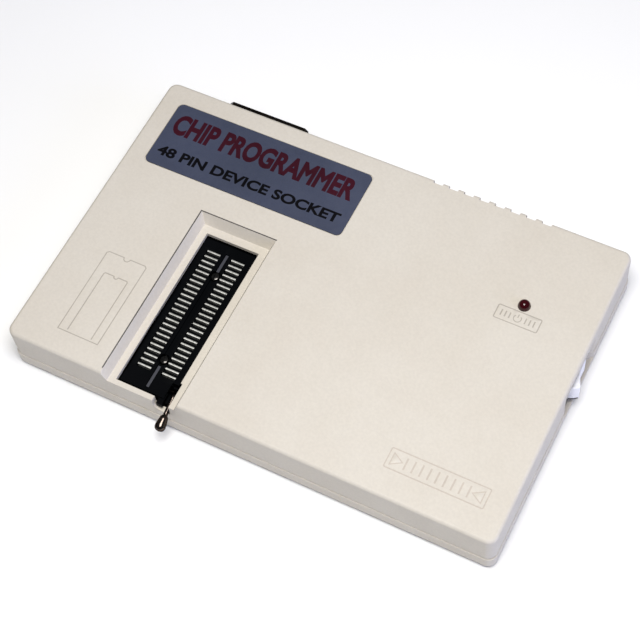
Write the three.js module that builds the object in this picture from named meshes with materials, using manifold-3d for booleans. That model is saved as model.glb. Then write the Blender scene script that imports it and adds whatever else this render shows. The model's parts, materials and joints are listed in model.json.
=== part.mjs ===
// Chip programmer: a flat two-shell plastic case holding a 48-way zero-insertion-force socket in a
// well, a power lamp, a rocker switch, a rear data connector and a DC inlet, all on one circuit board.
// Millimetres, +Z up, the feet stand on z = 0. The front is -Y and the socket is on the left half.

import * as THREE from 'three';
import { mergeVertices } from 'three/addons/utils/BufferGeometryUtils.js';
import Module from 'manifold-3d';

const wasm = await Module();
wasm.setup();

// ---- driving dimensions -------------------------------------------------------------------------

const GAP = 0.3; // clearance between neighbouring pieces

const WIDTH = 217;
const DEPTH = 140;
const TOP = 25.2;
const UNDERSIDE = 1.4;
const PARTING = 8.3; // the rim of the base shell
const TOP_INSET = 0.35; // the top shell's wall stands back from the base by this
const WALL = 2.4;
const BASE_WALL = 3.2;
const FLOOR_TOP = 3.6;
const CORNER = 4;
const EDGE = 1.5;
const LIP_RISE = 2.6; // the base's inner lip reaches this far into the top shell
const LIP_THICK = 1.2;

const WELL = { left: -62.9, right: -27.6, back: 14.7, depth: 5, slope: 2.1, backSlope: 2.6 };
const WELL_FLOOR = TOP - WELL.depth;
const FLOOR_PLATE = 2;
const OPENING = { left: -57.7, right: -33, back: 8.6, front: -67.3 };
const RELIEF = { right: -32.2, back: -58 };
const NOTCH = { left: -39.7, right: -32.2, bottom: 13.4, round: 3.75 };

const LABEL = { x: -51.65, y: 43.9, width: 94.3, depth: 32.8, radius: 2.5, thick: 0.45, proud: 0.15 };

const BOARD = { halfWidth: 103.5, halfDepth: 65.4, bottom: 5.4, top: 7 };
const MOUNTED = BOARD.top + GAP; // where components sit on the board
const BOARD_SCREWS = { x: 88, y: 50 };
const CASE_SCREWS = { x: 99.2, y: 61.2 };
const FEET = { x: 95, y: 46, radius: 5.8 };

const PITCH = 2.54;
const WAYS = 24; // contacts in a row
const SOCKET = { x: -45.35, rear: 7.9, front: -66.4, halfWidth: 11.7, top: 18.6, row: 5.715, ledge: 1.4 };
const FIRST_WAY = 2.1;
const PLATE = { bottom: 15.6, rear: 7.4, front: -58.6, apronFront: -66.1, apronRight: -36.6, apron: 0.8 };
const SLIDE = 0.7; // travel of the cover plate
const CONTACT = { length: 6.1, thick: 0.9, clear: 0.12, top: 18.3, strip: 1.2 };
const SLOT = { halfLength: 3.25, groove: 0.8, grooveDepth: 0.7, grooveFront: -64.4, grooveRear: 3.6 };
const COVER_SCREWS = [-7.4, -50.5];
const SCREW_HEAD = { radius: 2, room: 2.3, pocket: 1.6, neck: 1.5, below: 0.4 };

const LEVER = { x: -33.7, pivotY: -61.2, pivotZ: 15.7, rod: 0.95, shaftEnd: -47.5, reach: 16.5, fall: 3.5 };
const BULB = { radius: 2.45, length: 7.1, shoulder: 0.15, widest: 0.7 };
const CAM = { radius: 1.3, offset: 0.45, phase: 142.5, length: 2.8, x: -42.5 };

const VENTS = { count: 8, pitch: 7, first: 21.55, width: 4.2, bottom: 13.5, topCut: 1.7 };

const LED = { x: 77.6, y: 28.9, radius: 2.5, dome: 28.1, gap: 0.12 };
const LED_FOOT = { radius: 2.85, bottom: 18, top: 19, lead: 1.27 };

const BAY = { back: 30.5, front: -1, backFloor: 26.5, frontFloor: 2.6, floor: 105.2, top: 20.5, bottom: 4.2 };
const SWITCH = { y: 14, z: 12.5, pivot: 104.8, tilt: 12, reach: 8, valley: 3.4, bezel: 106.9, back: 93 };
const SWITCH_FRAME = { y: 10.6, z: 7.2 }; // half sizes, here and in the next three
const SWITCH_HOLE = { y: 9.5, z: 6.5 };
const SWITCH_BODY = { y: 9.2, z: 6.2 };
const SWITCH_CAVITY = { y: 8.4, z: 5.2, back: 96.4 };
const ROCKER = { half: 4.8, stub: 5.8, high: 35, low: 12, root: 3, rootHalf: 4 };

const DSUB = { x: -64, z: 12.4, width: 38.9, height: 8.4, face: 69.7, end: 75.9, metal: 0.6, lean: 10 };
const FLANGE = { width: 53, half: 6.25, thick: 0.8, screws: 23.52, hole: 1.7, back: 56.5 };
const INLET = { x: 84, z: 13.4, face: 69.4, bore: 2.9, nose: 4.2, hole: 4.6, half: 4.5, back: 55, pin: 1.05 };
const REAR_WALL = { inner: 60, outer: 80 }; // cutters for the rear wall run between these

const SINK = { left: 46, right: 76, front: 60.2, plate: 1.8, fins: 7, fin: 1.5, finEnd: 65, top: 19 };
const REGULATOR = { half: 5, front: 55.6, bottom: 10.4, top: 19, tabTop: 20.5, leg: 2.54 };

// ---- colours and finishes -----------------------------------------------------------------------

const finish = (color, roughness, metalness) => new THREE.MeshStandardMaterial({ color, roughness, metalness });
const BEIGE = finish(0xdcd5c6, 0.6, 0);
const BLACK = finish(0x17181a, 0.45, 0);
const WHITE = finish(0xeceaf0, 0.4, 0);
const LABEL_BLUE = finish(0x6c7690, 0.5, 0);
const RUBBER = finish(0x2b2b2c, 0.9, 0);
const STEEL = finish(0xb9babd, 0.25, 1);
const TINNED = finish(0xd4d5d2, 0.35, 1);
const BRASS = finish(0xc9a55a, 0.35, 1);
const BOARD_GREEN = finish(0x1f5b3a, 0.5, 0);
const RED_LENS = finish(0x6b0f18, 0.15, 0);
const ALUMINIUM = finish(0xa9abad, 0.4, 1);
const EPOXY = finish(0x1d1d1f, 0.6, 0);
const SLEEVE = finish(0x23304f, 0.45, 0);
const RESISTOR = finish(0x8a2b22, 0.5, 0);

// ---- joining and cutting ------------------------------------------------------------------------

function solid(geometry) {
  const bare = geometry.index ? geometry.toNonIndexed() : geometry.clone();
  bare.deleteAttribute('normal');
  bare.deleteAttribute('uv');
  const merged = mergeVertices(bare, 1e-4);
  return new wasm.Manifold(new wasm.Mesh({
    numProp: 3,
    vertProperties: merged.attributes.position.array,
    triVerts: Uint32Array.from(merged.index.array),
  }));
}

function geometryOf(manifold) {
  const { vertProperties, triVerts } = manifold.getMesh();
  const geometry = new THREE.BufferGeometry();
  geometry.setAttribute('position', new THREE.BufferAttribute(Float32Array.from(vertProperties), 3));
  geometry.setIndex(new THREE.BufferAttribute(Uint32Array.from(triVerts), 1));
  geometry.computeVertexNormals();
  return geometry;
}

const join = (first, ...rest) => geometryOf(rest.reduce((sum, next) => sum.add(solid(next)), solid(first)));
const cut = (first, ...rest) => geometryOf(rest.reduce((sum, next) => sum.subtract(solid(next)), solid(first)));
const common = (first, second) => geometryOf(solid(first).intersect(solid(second)));

// ---- basic shapes -------------------------------------------------------------------------------

function box(x0, x1, y0, y1, z0, z1) {
  return new THREE.BoxGeometry(x1 - x0, y1 - y0, z1 - z0)
    .translate((x0 + x1) / 2, (y0 + y1) / 2, (z0 + z1) / 2);
}

function post(x, y, radius, z0, z1, sides = 20) {
  return new THREE.CylinderGeometry(radius, radius, z1 - z0, sides)
    .rotateX(Math.PI / 2)
    .translate(x, y, (z0 + z1) / 2);
}

function barrelY(x, z, radius, y0, y1, sides = 20) {
  return new THREE.CylinderGeometry(radius, radius, y1 - y0, sides).translate(x, (y0 + y1) / 2, z);
}

function barrelX(y, z, radius, x0, x1, sides = 16) {
  return new THREE.CylinderGeometry(radius, radius, x1 - x0, sides)
    .rotateZ(Math.PI / 2)
    .translate((x0 + x1) / 2, y, z);
}

function roundedRectangle(width, depth, radius, x = 0, y = 0) {
  const shape = new THREE.Shape();
  const right = x + width / 2;
  const left = x - width / 2;
  const back = y + depth / 2;
  const front = y - depth / 2;
  const quarter = Math.PI / 2;
  shape.absarc(right - radius, back - radius, radius, 0, quarter);
  shape.absarc(left + radius, back - radius, radius, quarter, 2 * quarter);
  shape.absarc(left + radius, front + radius, radius, 2 * quarter, 3 * quarter);
  shape.absarc(right - radius, front + radius, radius, 3 * quarter, 4 * quarter);
  return shape;
}

function polygon(points) {
  return new THREE.Shape(points.map(([x, y]) => new THREE.Vector2(x, y)));
}

function slab(shape, z0, z1, curveSegments = 5) {
  return new THREE.ExtrudeGeometry(shape, { depth: z1 - z0, bevelEnabled: false, curveSegments })
    .translate(0, 0, z0);
}

// A slab in the XZ plane: the shape's y becomes z, and it runs from y0 back to y1.
function slabAlongY(shape, y0, y1, curveSegments = 5) {
  return new THREE.ExtrudeGeometry(shape, { depth: y1 - y0, bevelEnabled: false, curveSegments })
    .rotateX(Math.PI / 2)
    .translate(0, y1, 0);
}

// A block with rounded upright corners and rounded edges all round its top and its bottom.
function pillow(width, depth, z0, z1, corner, edge) {
  const shape = roundedRectangle(width - 2 * edge, depth - 2 * edge, corner - edge);
  return new THREE.ExtrudeGeometry(shape, {
    depth: z1 - z0 - 2 * edge,
    bevelThickness: edge,
    bevelSize: edge,
    bevelSegments: 4,
    curveSegments: 5,
  }).translate(0, 0, z0 + edge);
}

// A block whose lower and upper rectangles differ: each is [x0, x1, y0, y1].
function taperedBlock(lower, z0, upper, z1) {
  const geometry = new THREE.BoxGeometry(1, 1, 1);
  const position = geometry.attributes.position;
  for (let i = 0; i < position.count; i += 1) {
    const [x0, x1, y0, y1] = position.getZ(i) < 0 ? lower : upper;
    const x = position.getX(i) < 0 ? x0 : x1;
    const y = position.getY(i) < 0 ? y0 : y1;
    position.setXYZ(i, x, y, position.getZ(i) < 0 ? z0 : z1);
  }
  return geometry;
}

const corners = ({ x, y }) => [[-x, -y], [x, -y], [x, y], [-x, y]];

// ---- the case -----------------------------------------------------------------------------------

// The recess round the power switch: its ends slope in from the side wall to a flat back.
function bayCutter() {
  const side = WIDTH / 2;
  const beyond = 40; // the cutter runs out past the side wall, on the same slopes
  const spread = (end, endFloor) => beyond * (end - endFloor) / (side - BAY.floor);
  return slab(polygon([
    [side + beyond, BAY.front + spread(BAY.front, BAY.frontFloor)],
    [side + beyond, BAY.back + spread(BAY.back, BAY.backFloor)],
    [BAY.floor, BAY.backFloor],
    [BAY.floor, BAY.frontFloor],
  ]), BAY.bottom, BAY.top);
}

const bayWall = () => box(BAY.floor - WALL, WIDTH, BAY.front - WALL, BAY.back + WALL, -1, TOP);

// A block round the switch's middle, from x0 to x1, with the half sizes of one of the switch's parts.
const roundSwitch = (x0, x1, half) => box(
  x0, x1, SWITCH.y - half.y, SWITCH.y + half.y, SWITCH.z - half.z, SWITCH.z + half.z);

const switchHole = () => roundSwitch(BAY.floor - 2 * WALL, BAY.floor + 1, SWITCH_HOLE);

const connectorHole = () => {
  const halfWidth = FLANGE.width / 2 + GAP;
  const halfHeight = FLANGE.half + GAP;
  return box(
    DSUB.x - halfWidth, DSUB.x + halfWidth, REAR_WALL.inner, REAR_WALL.outer,
    DSUB.z - halfHeight, DSUB.z + halfHeight);
};

const inletHole = () => barrelY(INLET.x, INLET.z, INLET.hole, REAR_WALL.inner, REAR_WALL.outer, 24);

function wellCutter() {
  const { left, right, back, slope, backSlope, depth } = WELL;
  const over = 3; // the cutter stands this far above the case, on the same slopes
  const grow = over * slope / depth;
  return taperedBlock(
    [left + slope, right - slope, -DEPTH, back - backSlope], WELL_FLOOR,
    [left - grow, right + grow, -DEPTH, back + over * backSlope / depth], TOP + over);
}

function notchCutter() {
  const { left, right, bottom, round } = NOTCH;
  const shape = new THREE.Shape();
  shape.moveTo(right, bottom);
  shape.lineTo(right, WELL_FLOOR + 1);
  shape.lineTo(left, WELL_FLOOR + 1);
  shape.lineTo(left, bottom + round);
  shape.absarc(left + round, bottom + round, round, Math.PI, 1.5 * Math.PI);
  return slabAlongY(shape, -DEPTH, OPENING.front + 0.5);
}

function ventCutters() {
  const rear = DEPTH / 2 - TOP_INSET;
  return Array.from({ length: VENTS.count }, (_, i) => {
    const x = VENTS.first + VENTS.pitch * i;
    const left = x - VENTS.width / 2;
    const right = x + VENTS.width / 2;
    const notch = box(left, right, rear - VENTS.topCut, rear + 2, VENTS.bottom, TOP + 1);
    const through = box(left, right, rear - 4, rear - 1, VENTS.bottom, TOP - WALL - 1);
    return join(notch, through);
  });
}

function topShell() {
  const width = WIDTH - 2 * TOP_INSET;
  const depth = DEPTH - 2 * TOP_INSET;
  const rim = PARTING + GAP;
  const block = common(
    pillow(width, depth, 0, TOP, CORNER, EDGE),
    box(-WIDTH, WIDTH, -DEPTH, DEPTH, rim, TOP + 1));
  const inside = slab(roundedRectangle(width - 2 * WALL, depth - 2 * WALL, CORNER - 1.5), 0, TOP - WALL);
  const wellWall = taperedBlock(
    [WELL.left + WELL.slope - WALL, WELL.right - WELL.slope + WALL, -DEPTH, WELL.back - WELL.backSlope + WALL],
    WELL_FLOOR - FLOOR_PLATE,
    [WELL.left - WALL, WELL.right + WALL, -DEPTH, WELL.back + WALL], TOP);
  const hollow = cut(inside, wellWall, bayWall());
  const bosses = corners(CASE_SCREWS).map(([x, y]) => post(x, y, 3.4, rim + GAP, TOP - 1));
  const pilots = corners(CASE_SCREWS).map(([x, y]) => post(x, y, 1.6, 0, 19, 12));
  const openingRight = Math.max(OPENING.right, RELIEF.right);
  const opening = join(
    box(OPENING.left, OPENING.right, OPENING.front, OPENING.back, WELL_FLOOR - 3, TOP),
    box(OPENING.right - 1, openingRight, OPENING.front, RELIEF.back, WELL_FLOOR - 3, TOP));
  const labelSeat = slab(
    roundedRectangle(LABEL.width + 2 * GAP, LABEL.depth + 2 * GAP, LABEL.radius, LABEL.x, LABEL.y),
    TOP + LABEL.proud - LABEL.thick - GAP, TOP + 1);
  const shell = join(cut(block, hollow), ...bosses);
  return cut(
    shell, ...pilots, wellCutter(), opening, notchCutter(), ...ventCutters(), labelSeat,
    bayCutter(), switchHole(), connectorHole(), inletHole(),
    post(LED.x, LED.y, LED.radius + LED.gap, WELL_FLOOR, TOP + 1, 24));
}

function baseShell() {
  const block = common(
    pillow(WIDTH, DEPTH, UNDERSIDE, TOP, CORNER, 1.2),
    box(-WIDTH, WIDTH, -DEPTH, DEPTH, 0, PARTING));
  const inside = slab(
    roundedRectangle(WIDTH - 2 * BASE_WALL, DEPTH - 2 * BASE_WALL, CORNER - 2), FLOOR_TOP, TOP);
  const lipWidth = WIDTH - 2 * (TOP_INSET + WALL + GAP);
  const lipDepth = DEPTH - 2 * (TOP_INSET + WALL + GAP);
  const lip = cut(
    slab(roundedRectangle(lipWidth, lipDepth, 2), FLOOR_TOP + 1, PARTING + LIP_RISE),
    slab(roundedRectangle(lipWidth - 2 * LIP_THICK, lipDepth - 2 * LIP_THICK, 1), 0, TOP),
    box(BAY.floor - 2 * WALL, WIDTH, BAY.front - 2 * WALL, BAY.back + 2 * WALL, 0, TOP),
    box(INLET.x - 6, INLET.x + 6, 50, DEPTH, PARTING - 1, TOP),
    box(SOCKET.x - SOCKET.halfWidth - 1, SOCKET.x + SOCKET.halfWidth + 1, -DEPTH, -50, FLOOR_TOP, TOP));
  const boardPosts = corners(BOARD_SCREWS).map(([x, y]) => post(x, y, 3, FLOOR_TOP - 1, BOARD.bottom - GAP));
  const casePosts = corners(CASE_SCREWS).map(([x, y]) => post(x, y, 3.6, FLOOR_TOP - 1, PARTING));
  const tray = join(cut(block, cut(inside, bayWall())), lip, ...boardPosts, ...casePosts);
  const boardPilots = corners(BOARD_SCREWS).map(([x, y]) => post(x, y, 1.3, UNDERSIDE + 1, 8, 12));
  const caseHoles = corners(CASE_SCREWS).map(([x, y]) => post(x, y, 1.7, 0, 12, 12));
  const headSeats = corners(CASE_SCREWS).map(([x, y]) => post(x, y, 3, 0, UNDERSIDE + 3.2));
  const footSeats = corners(FEET).map(([x, y]) => post(x, y, FEET.radius + GAP, 0, UNDERSIDE + 0.6, 24));
  return cut(
    tray, ...boardPilots, ...caseHoles, ...headSeats, ...footSeats, bayCutter(), switchHole(), connectorHole());
}

function rubberFoot([x, y]) {
  const points = [[0, 0], [FEET.radius - 0.8, 0], [FEET.radius, 0.7], [FEET.radius, 1.7], [0, 1.7]];
  return new THREE.LatheGeometry(points.map(([r, z]) => new THREE.Vector2(r, z)), 24)
    .rotateX(Math.PI / 2)
    .translate(x, y, 0);
}

function caseScrew([x, y]) {
  const head = cut(
    post(x, y, 2.7, UNDERSIDE + GAP, UNDERSIDE + 2.6),
    box(x - 2, x + 2, y - 0.35, y + 0.35, 0, UNDERSIDE + 1));
  return join(head, post(x, y, 1.3, UNDERSIDE + 2, 18.5, 12));
}

function boardScrew([x, y]) {
  const head = cut(
    post(x, y, 2.6, MOUNTED, MOUNTED + 1.6),
    box(x - 1.8, x + 1.8, y - 0.3, y + 0.3, MOUNTED + 1, MOUNTED + 2));
  return join(head, post(x, y, 1, UNDERSIDE + 1.6, MOUNTED + 0.5, 12));
}

function nameLabel() {
  const top = TOP + LABEL.proud;
  return slab(
    roundedRectangle(LABEL.width, LABEL.depth, LABEL.radius, LABEL.x, LABEL.y), top - LABEL.thick, top);
}

// ---- the zero-insertion-force socket --------------------------------------------------------------

const rows = [SOCKET.x - SOCKET.row, SOCKET.x + SOCKET.row];
const wayY = (way) => FIRST_WAY - PITCH * way;
const lastWay = wayY(WAYS - 1);

function socketBase() {
  const { x, halfWidth, rear, front, ledge } = SOCKET;
  const deck = PLATE.bottom - GAP;
  const blockTop = SOCKET.top - PLATE.apron - GAP;
  const blockRear = PLATE.front - 0.4;
  const blockRight = PLATE.apronRight + GAP;
  const body = box(x - halfWidth, x + halfWidth, front, rear, MOUNTED, deck);
  const shelf = box(x - halfWidth - ledge, x + halfWidth, front, rear + ledge, deck - 2, deck);
  const endBlock = box(x - halfWidth, blockRight, front, blockRear, deck - 1, blockTop);
  const ear = box(NOTCH.left + 0.8, blockRight, front - 2.4, front + 1, NOTCH.bottom + 1.6, blockTop);
  const channels = rows.map((rowX) => box(
    rowX - CONTACT.length / 2 - 0.4, rowX + CONTACT.length / 2 + 0.4,
    lastWay - 1.6, FIRST_WAY + 1.6, MOUNTED + 1.6, deck + 1));
  const shaftBore = barrelX(LEVER.pivotY, LEVER.pivotZ, LEVER.rod + GAP, LEVER.shaftEnd - 1, blockRight + 4);
  const pocketFloor = LEVER.pivotZ - 2.1;
  const bendRoom = box(
    blockRight - 1.4, x + halfWidth + 1, LEVER.pivotY - 2, LEVER.pivotY + 1.8, pocketFloor, blockTop + 1);
  const camRoom = CAM.length / 2 + 0.5;
  const camPocket = box(
    CAM.x - camRoom, CAM.x + camRoom, LEVER.pivotY - 2.1, blockRear + 1, pocketFloor, blockTop + 1);
  const pilots = COVER_SCREWS.map((y) => post(x, y, 1.4, MOUNTED + 1, deck + 1, 12));
  return cut(join(body, shelf, endBlock, ear), ...channels, shaftBore, bendRoom, camPocket, ...pilots);
}

function slidePlate() {
  const { x, halfWidth, top } = SOCKET;
  const main = box(x - halfWidth, x + halfWidth, PLATE.front, PLATE.rear, PLATE.bottom, top);
  const apron = box(x - halfWidth, PLATE.apronRight, PLATE.apronFront, PLATE.front + 1, top - PLATE.apron, top);
  const camRest = CAM.radius + CAM.offset * Math.cos(THREE.MathUtils.degToRad(CAM.phase));
  const tongueFront = LEVER.pivotY + camRest + 0.15;
  const tongue = box(
    CAM.x - CAM.length / 2, CAM.x + CAM.length / 2, tongueFront, PLATE.front + 1, PLATE.bottom, top - 1);
  const slots = rows.flatMap((rowX) => Array.from({ length: WAYS }, (_, way) => {
    const rearEdge = wayY(way) + CONTACT.thick / 2 + CONTACT.clear;
    const frontEdge = wayY(way) - CONTACT.thick / 2 - CONTACT.clear - SLIDE;
    return box(rowX - SLOT.halfLength, rowX + SLOT.halfLength, frontEdge, rearEdge, 0, TOP);
  }));
  const { neck, room, pocket } = SCREW_HEAD;
  const screwSlots = COVER_SCREWS.flatMap((y) => [
    box(x - neck, x + neck, y - SLIDE - neck, y + neck, 0, TOP),
    slab(roundedRectangle(2 * room, 2 * room + SLIDE, room, x, y - SLIDE / 2), top - pocket, TOP),
  ]);
  const groove = box(
    x - SLOT.groove, x + SLOT.groove, SLOT.grooveFront, SLOT.grooveRear, top - SLOT.grooveDepth, TOP);
  return cut(join(main, apron, tongue), ...slots, ...screwSlots, groove);
}

// One row of contacts: spring blades standing on the strip that locates them in the base.
function contactRow(rowX) {
  const strip = box(
    rowX - CONTACT.length / 2, rowX + CONTACT.length / 2,
    lastWay - CONTACT.strip, FIRST_WAY + CONTACT.strip, MOUNTED + 2, MOUNTED + 3);
  const blades = Array.from({ length: WAYS }, (_, way) => box(
    rowX - CONTACT.length / 2, rowX + CONTACT.length / 2,
    wayY(way) - CONTACT.thick / 2, wayY(way) + CONTACT.thick / 2, MOUNTED + 2.5, CONTACT.top));
  return join(strip, ...blades);
}

function coverScrew(y) {
  const headTop = SOCKET.top - SCREW_HEAD.below;
  const head = cut(
    post(SOCKET.x, y, SCREW_HEAD.radius, SOCKET.top - SCREW_HEAD.pocket + GAP, headTop),
    box(SOCKET.x - 0.3, SOCKET.x + 0.3, y - 1.4, y + 1.4, headTop - 0.4, TOP));
  return join(head, post(SOCKET.x, y, 1.1, MOUNTED + 2, SOCKET.top - 1, 12));
}

// The bent rod: a shaft across the socket, a crank at its end and a tapered grip that slopes down.
function lever() {
  const shoulder = new THREE.Vector3(LEVER.x, LEVER.pivotY - 2, LEVER.pivotZ + 1.8);
  const tip = new THREE.Vector3(LEVER.x, LEVER.pivotY - LEVER.reach, LEVER.pivotZ - LEVER.fall);
  const grip = tip.clone().sub(shoulder).normalize();
  const rodEnd = tip.clone().addScaledVector(grip, -3);
  const start = new THREE.Vector3(LEVER.shaftEnd, LEVER.pivotY, LEVER.pivotZ);
  const bend = new THREE.Vector3(LEVER.x - 1.2, LEVER.pivotY, LEVER.pivotZ);
  const knee = new THREE.Vector3(LEVER.x + 0.4, LEVER.pivotY - 0.1, LEVER.pivotZ + 0.2);
  const path = new THREE.CurvePath();
  path.add(new THREE.LineCurve3(start, bend));
  path.add(new THREE.QuadraticBezierCurve3(bend, knee, shoulder));
  path.add(new THREE.LineCurve3(shoulder, rodEnd));
  const section = new THREE.Shape();
  section.absarc(0, 0, LEVER.rod, 0, 2 * Math.PI);
  const rod = new THREE.ExtrudeGeometry(section, { extrudePath: path, steps: 36, curveSegments: 5 });
  const profile = [[0, 0]];
  for (let i = 0; i <= 12; i += 1) {
    const t = i / 12;
    const rise = Math.min(t / BULB.shoulder, 1) ** 0.6;
    const swell = 0.6 + 0.4 * Math.min(t / BULB.widest, 1);
    const radius = LEVER.rod + (BULB.radius - LEVER.rod) * rise * swell;
    profile.push([radius * Math.sqrt(1 - 0.8 * t ** 7), (BULB.length - 0.3) * t]);
  }
  profile.push([0, BULB.length]);
  const bulb = new THREE.LatheGeometry(profile.map(([r, y]) => new THREE.Vector2(r, y)), 18);
  bulb.applyQuaternion(new THREE.Quaternion().setFromUnitVectors(new THREE.Vector3(0, 1, 0), grip));
  const bulbStart = tip.clone().addScaledVector(grip, -BULB.length);
  bulb.translate(bulbStart.x, bulbStart.y, bulbStart.z);
  const phase = THREE.MathUtils.degToRad(CAM.phase);
  const cam = barrelX(
    LEVER.pivotY + CAM.offset * Math.cos(phase), LEVER.pivotZ + CAM.offset * Math.sin(phase),
    CAM.radius, CAM.x - CAM.length / 2, CAM.x + CAM.length / 2, 20);
  return join(rod, bulb, cam);
}

// ---- rear connector and inlet ---------------------------------------------------------------------

// The D outline: wider at the top, with sides that lean in 10 degrees.
function dOutline(shrink, x = DSUB.x) {
  const halfTop = DSUB.width / 2 - shrink;
  const halfHeight = DSUB.height / 2 - shrink;
  const lean = 2 * halfHeight * Math.tan(THREE.MathUtils.degToRad(DSUB.lean));
  const cornerCut = 1.6 - shrink / 2;
  return polygon([
    [x - halfTop + lean + cornerCut, DSUB.z - halfHeight],
    [x + halfTop - lean - cornerCut, DSUB.z - halfHeight],
    [x + halfTop - lean, DSUB.z - halfHeight + cornerCut],
    [x + halfTop, DSUB.z + halfHeight - cornerCut],
    [x + halfTop - cornerCut, DSUB.z + halfHeight],
    [x - halfTop + cornerCut, DSUB.z + halfHeight],
    [x - halfTop, DSUB.z + halfHeight - cornerCut],
    [x - halfTop + lean, DSUB.z - halfHeight + cornerCut],
  ]);
}

const screwSpots = [DSUB.x - FLANGE.screws, DSUB.x + FLANGE.screws];

function connectorShell() {
  const flange = box(
    DSUB.x - FLANGE.width / 2, DSUB.x + FLANGE.width / 2, DSUB.face - FLANGE.thick, DSUB.face,
    DSUB.z - FLANGE.half, DSUB.z + FLANGE.half);
  const tube = slabAlongY(dOutline(0), DSUB.face - 0.4, DSUB.end);
  const hollow = slabAlongY(dOutline(DSUB.metal), DSUB.face - 2, DSUB.end + 1);
  const holes = screwSpots.map((x) => barrelY(x, DSUB.z, FLANGE.hole, DSUB.face - 3, DSUB.face + 1, 12));
  return cut(join(flange, tube), hollow, ...holes);
}

const connectorInsert = () => slabAlongY(
  dOutline(DSUB.metal + GAP), DSUB.face - FLANGE.thick, DSUB.end - 0.7);

function connectorBody() {
  const half = FLANGE.width / 2;
  const body = box(
    DSUB.x - half, DSUB.x + half, FLANGE.back, DSUB.face - FLANGE.thick - GAP,
    MOUNTED, DSUB.z + FLANGE.half - 0.15);
  const holes = screwSpots.map((x) => barrelY(x, DSUB.z, FLANGE.hole, REAR_WALL.inner, DSUB.face, 12));
  return cut(body, ...holes);
}

function jackScrew(x) {
  const hex = barrelY(x, DSUB.z, 2.7, DSUB.face + GAP, DSUB.face + 5.2, 6);
  const thread = barrelY(x, DSUB.z, 1.3, REAR_WALL.inner + 1, DSUB.face + 1, 12);
  return cut(join(hex, thread), barrelY(x, DSUB.z, 1.3, DSUB.face + 1.4, DSUB.face + 6, 12));
}

function dcInlet() {
  const { x, z, half, back, face, nose, bore } = INLET;
  const bodyEnd = face - WALL - GAP;
  const body = box(x - half, x + half, back, bodyEnd, MOUNTED, z + 5);
  const barrel = barrelY(x, z, nose, bodyEnd - 0.7, face, 24);
  return cut(join(body, barrel), barrelY(x, z, bore, back + 4, REAR_WALL.outer));
}

const dcInletPin = () => barrelY(INLET.x, INLET.z, INLET.pin, INLET.back + 4 + GAP, INLET.face - 1, 12);

// ---- power switch -----------------------------------------------------------------------------------

function switchHousing() {
  const { y, z, bezel, back, pivot } = SWITCH;
  const frame = roundSwitch(BAY.floor + GAP, bezel, SWITCH_FRAME);
  const body = roundSwitch(back, BAY.floor + 1, SWITCH_BODY);
  const cavity = roundSwitch(SWITCH_CAVITY.back, bezel + 1, SWITCH_CAVITY);
  return cut(join(frame, body), cavity, post(pivot, y, 1.3, z - ROCKER.stub - 0.2, z + ROCKER.stub + 0.2, 12));
}

// The rocker: two flat faces that meet in a shallow valley over the pivot, and round ends.
function rocker() {
  const { y, z, reach, pivot, tilt, valley } = SWITCH;
  const high = THREE.MathUtils.degToRad(ROCKER.high);
  const low = THREE.MathUtils.degToRad(-ROCKER.low);
  const shape = new THREE.Shape();
  shape.moveTo(valley, 0);
  shape.absarc(0, 0, reach, Math.PI / 2 - high, Math.PI / 2 - low);
  shape.lineTo(-ROCKER.root, ROCKER.rootHalf);
  shape.lineTo(-ROCKER.root, -ROCKER.rootHalf);
  shape.absarc(0, 0, reach, -Math.PI / 2 + low, -Math.PI / 2 + high);
  const body = new THREE.ExtrudeGeometry(shape, { depth: 2 * ROCKER.half, bevelEnabled: false, curveSegments: 6 })
    .translate(0, 0, -ROCKER.half);
  const stubs = post(0, 0, 1, -ROCKER.stub, ROCKER.stub, 12);
  return join(body, stubs)
    .rotateZ(THREE.MathUtils.degToRad(tilt))
    .translate(pivot, y, z);
}

const switchTerminal = (side) => box(
  SWITCH.back - 7, SWITCH.back - GAP, SWITCH.y + side * 4 - 0.4, SWITCH.y + side * 4 + 0.4,
  SWITCH.z - 2.4, SWITCH.z + 2.4);

// ---- board and what it carries ----------------------------------------------------------------------

function mainBoard() {
  const { halfWidth, halfDepth, bottom, top } = BOARD;
  const notchX = 94;
  const notchY = 56;
  const outline = polygon([
    [-notchX, -halfDepth], [notchX, -halfDepth], [notchX, -notchY], [halfWidth, -notchY],
    [halfWidth, SWITCH.y - 10.5], [92, SWITCH.y - 10.5], [92, SWITCH.y + 10.5], [102, SWITCH.y + 10.5],
    [102, notchY], [notchX, notchY], [notchX, halfDepth], [-notchX, halfDepth],
    [-notchX, notchY], [-halfWidth, notchY], [-halfWidth, -notchY], [-notchX, -notchY],
  ]);
  const holes = corners(BOARD_SCREWS).map(([x, y]) => post(x, y, 1.6, 0, TOP, 12));
  const bayRoom = box(BAY.floor - WALL - GAP, WIDTH, BAY.front - WALL - GAP, BAY.back + WALL + GAP, 0, TOP);
  return cut(slab(outline, bottom, top), ...holes, bayRoom);
}

// A dual-in-line package lying along X, with the half-round mark at its left end.
function chip(x, y, length, width, height, bottom = MOUNTED) {
  const body = taperedBlock(
    [x - length / 2, x + length / 2, y - width / 2, y + width / 2], bottom,
    [x - length / 2 + 0.4, x + length / 2 - 0.4, y - width / 2 + 0.4, y + width / 2 - 0.4], bottom + height);
  return cut(body, post(x - length / 2, y, 1.3, bottom + height - 0.6, bottom + height + 1, 12));
}

function chipSocket(x, y, length, width, height) {
  const frame = box(x - length / 2, x + length / 2, y - width / 2, y + width / 2, MOUNTED, MOUNTED + height);
  const window = box(x - length / 2 + 5, x + length / 2 - 5, y - 4.5, y + 4.5, 0, TOP);
  return cut(frame, window);
}

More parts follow.
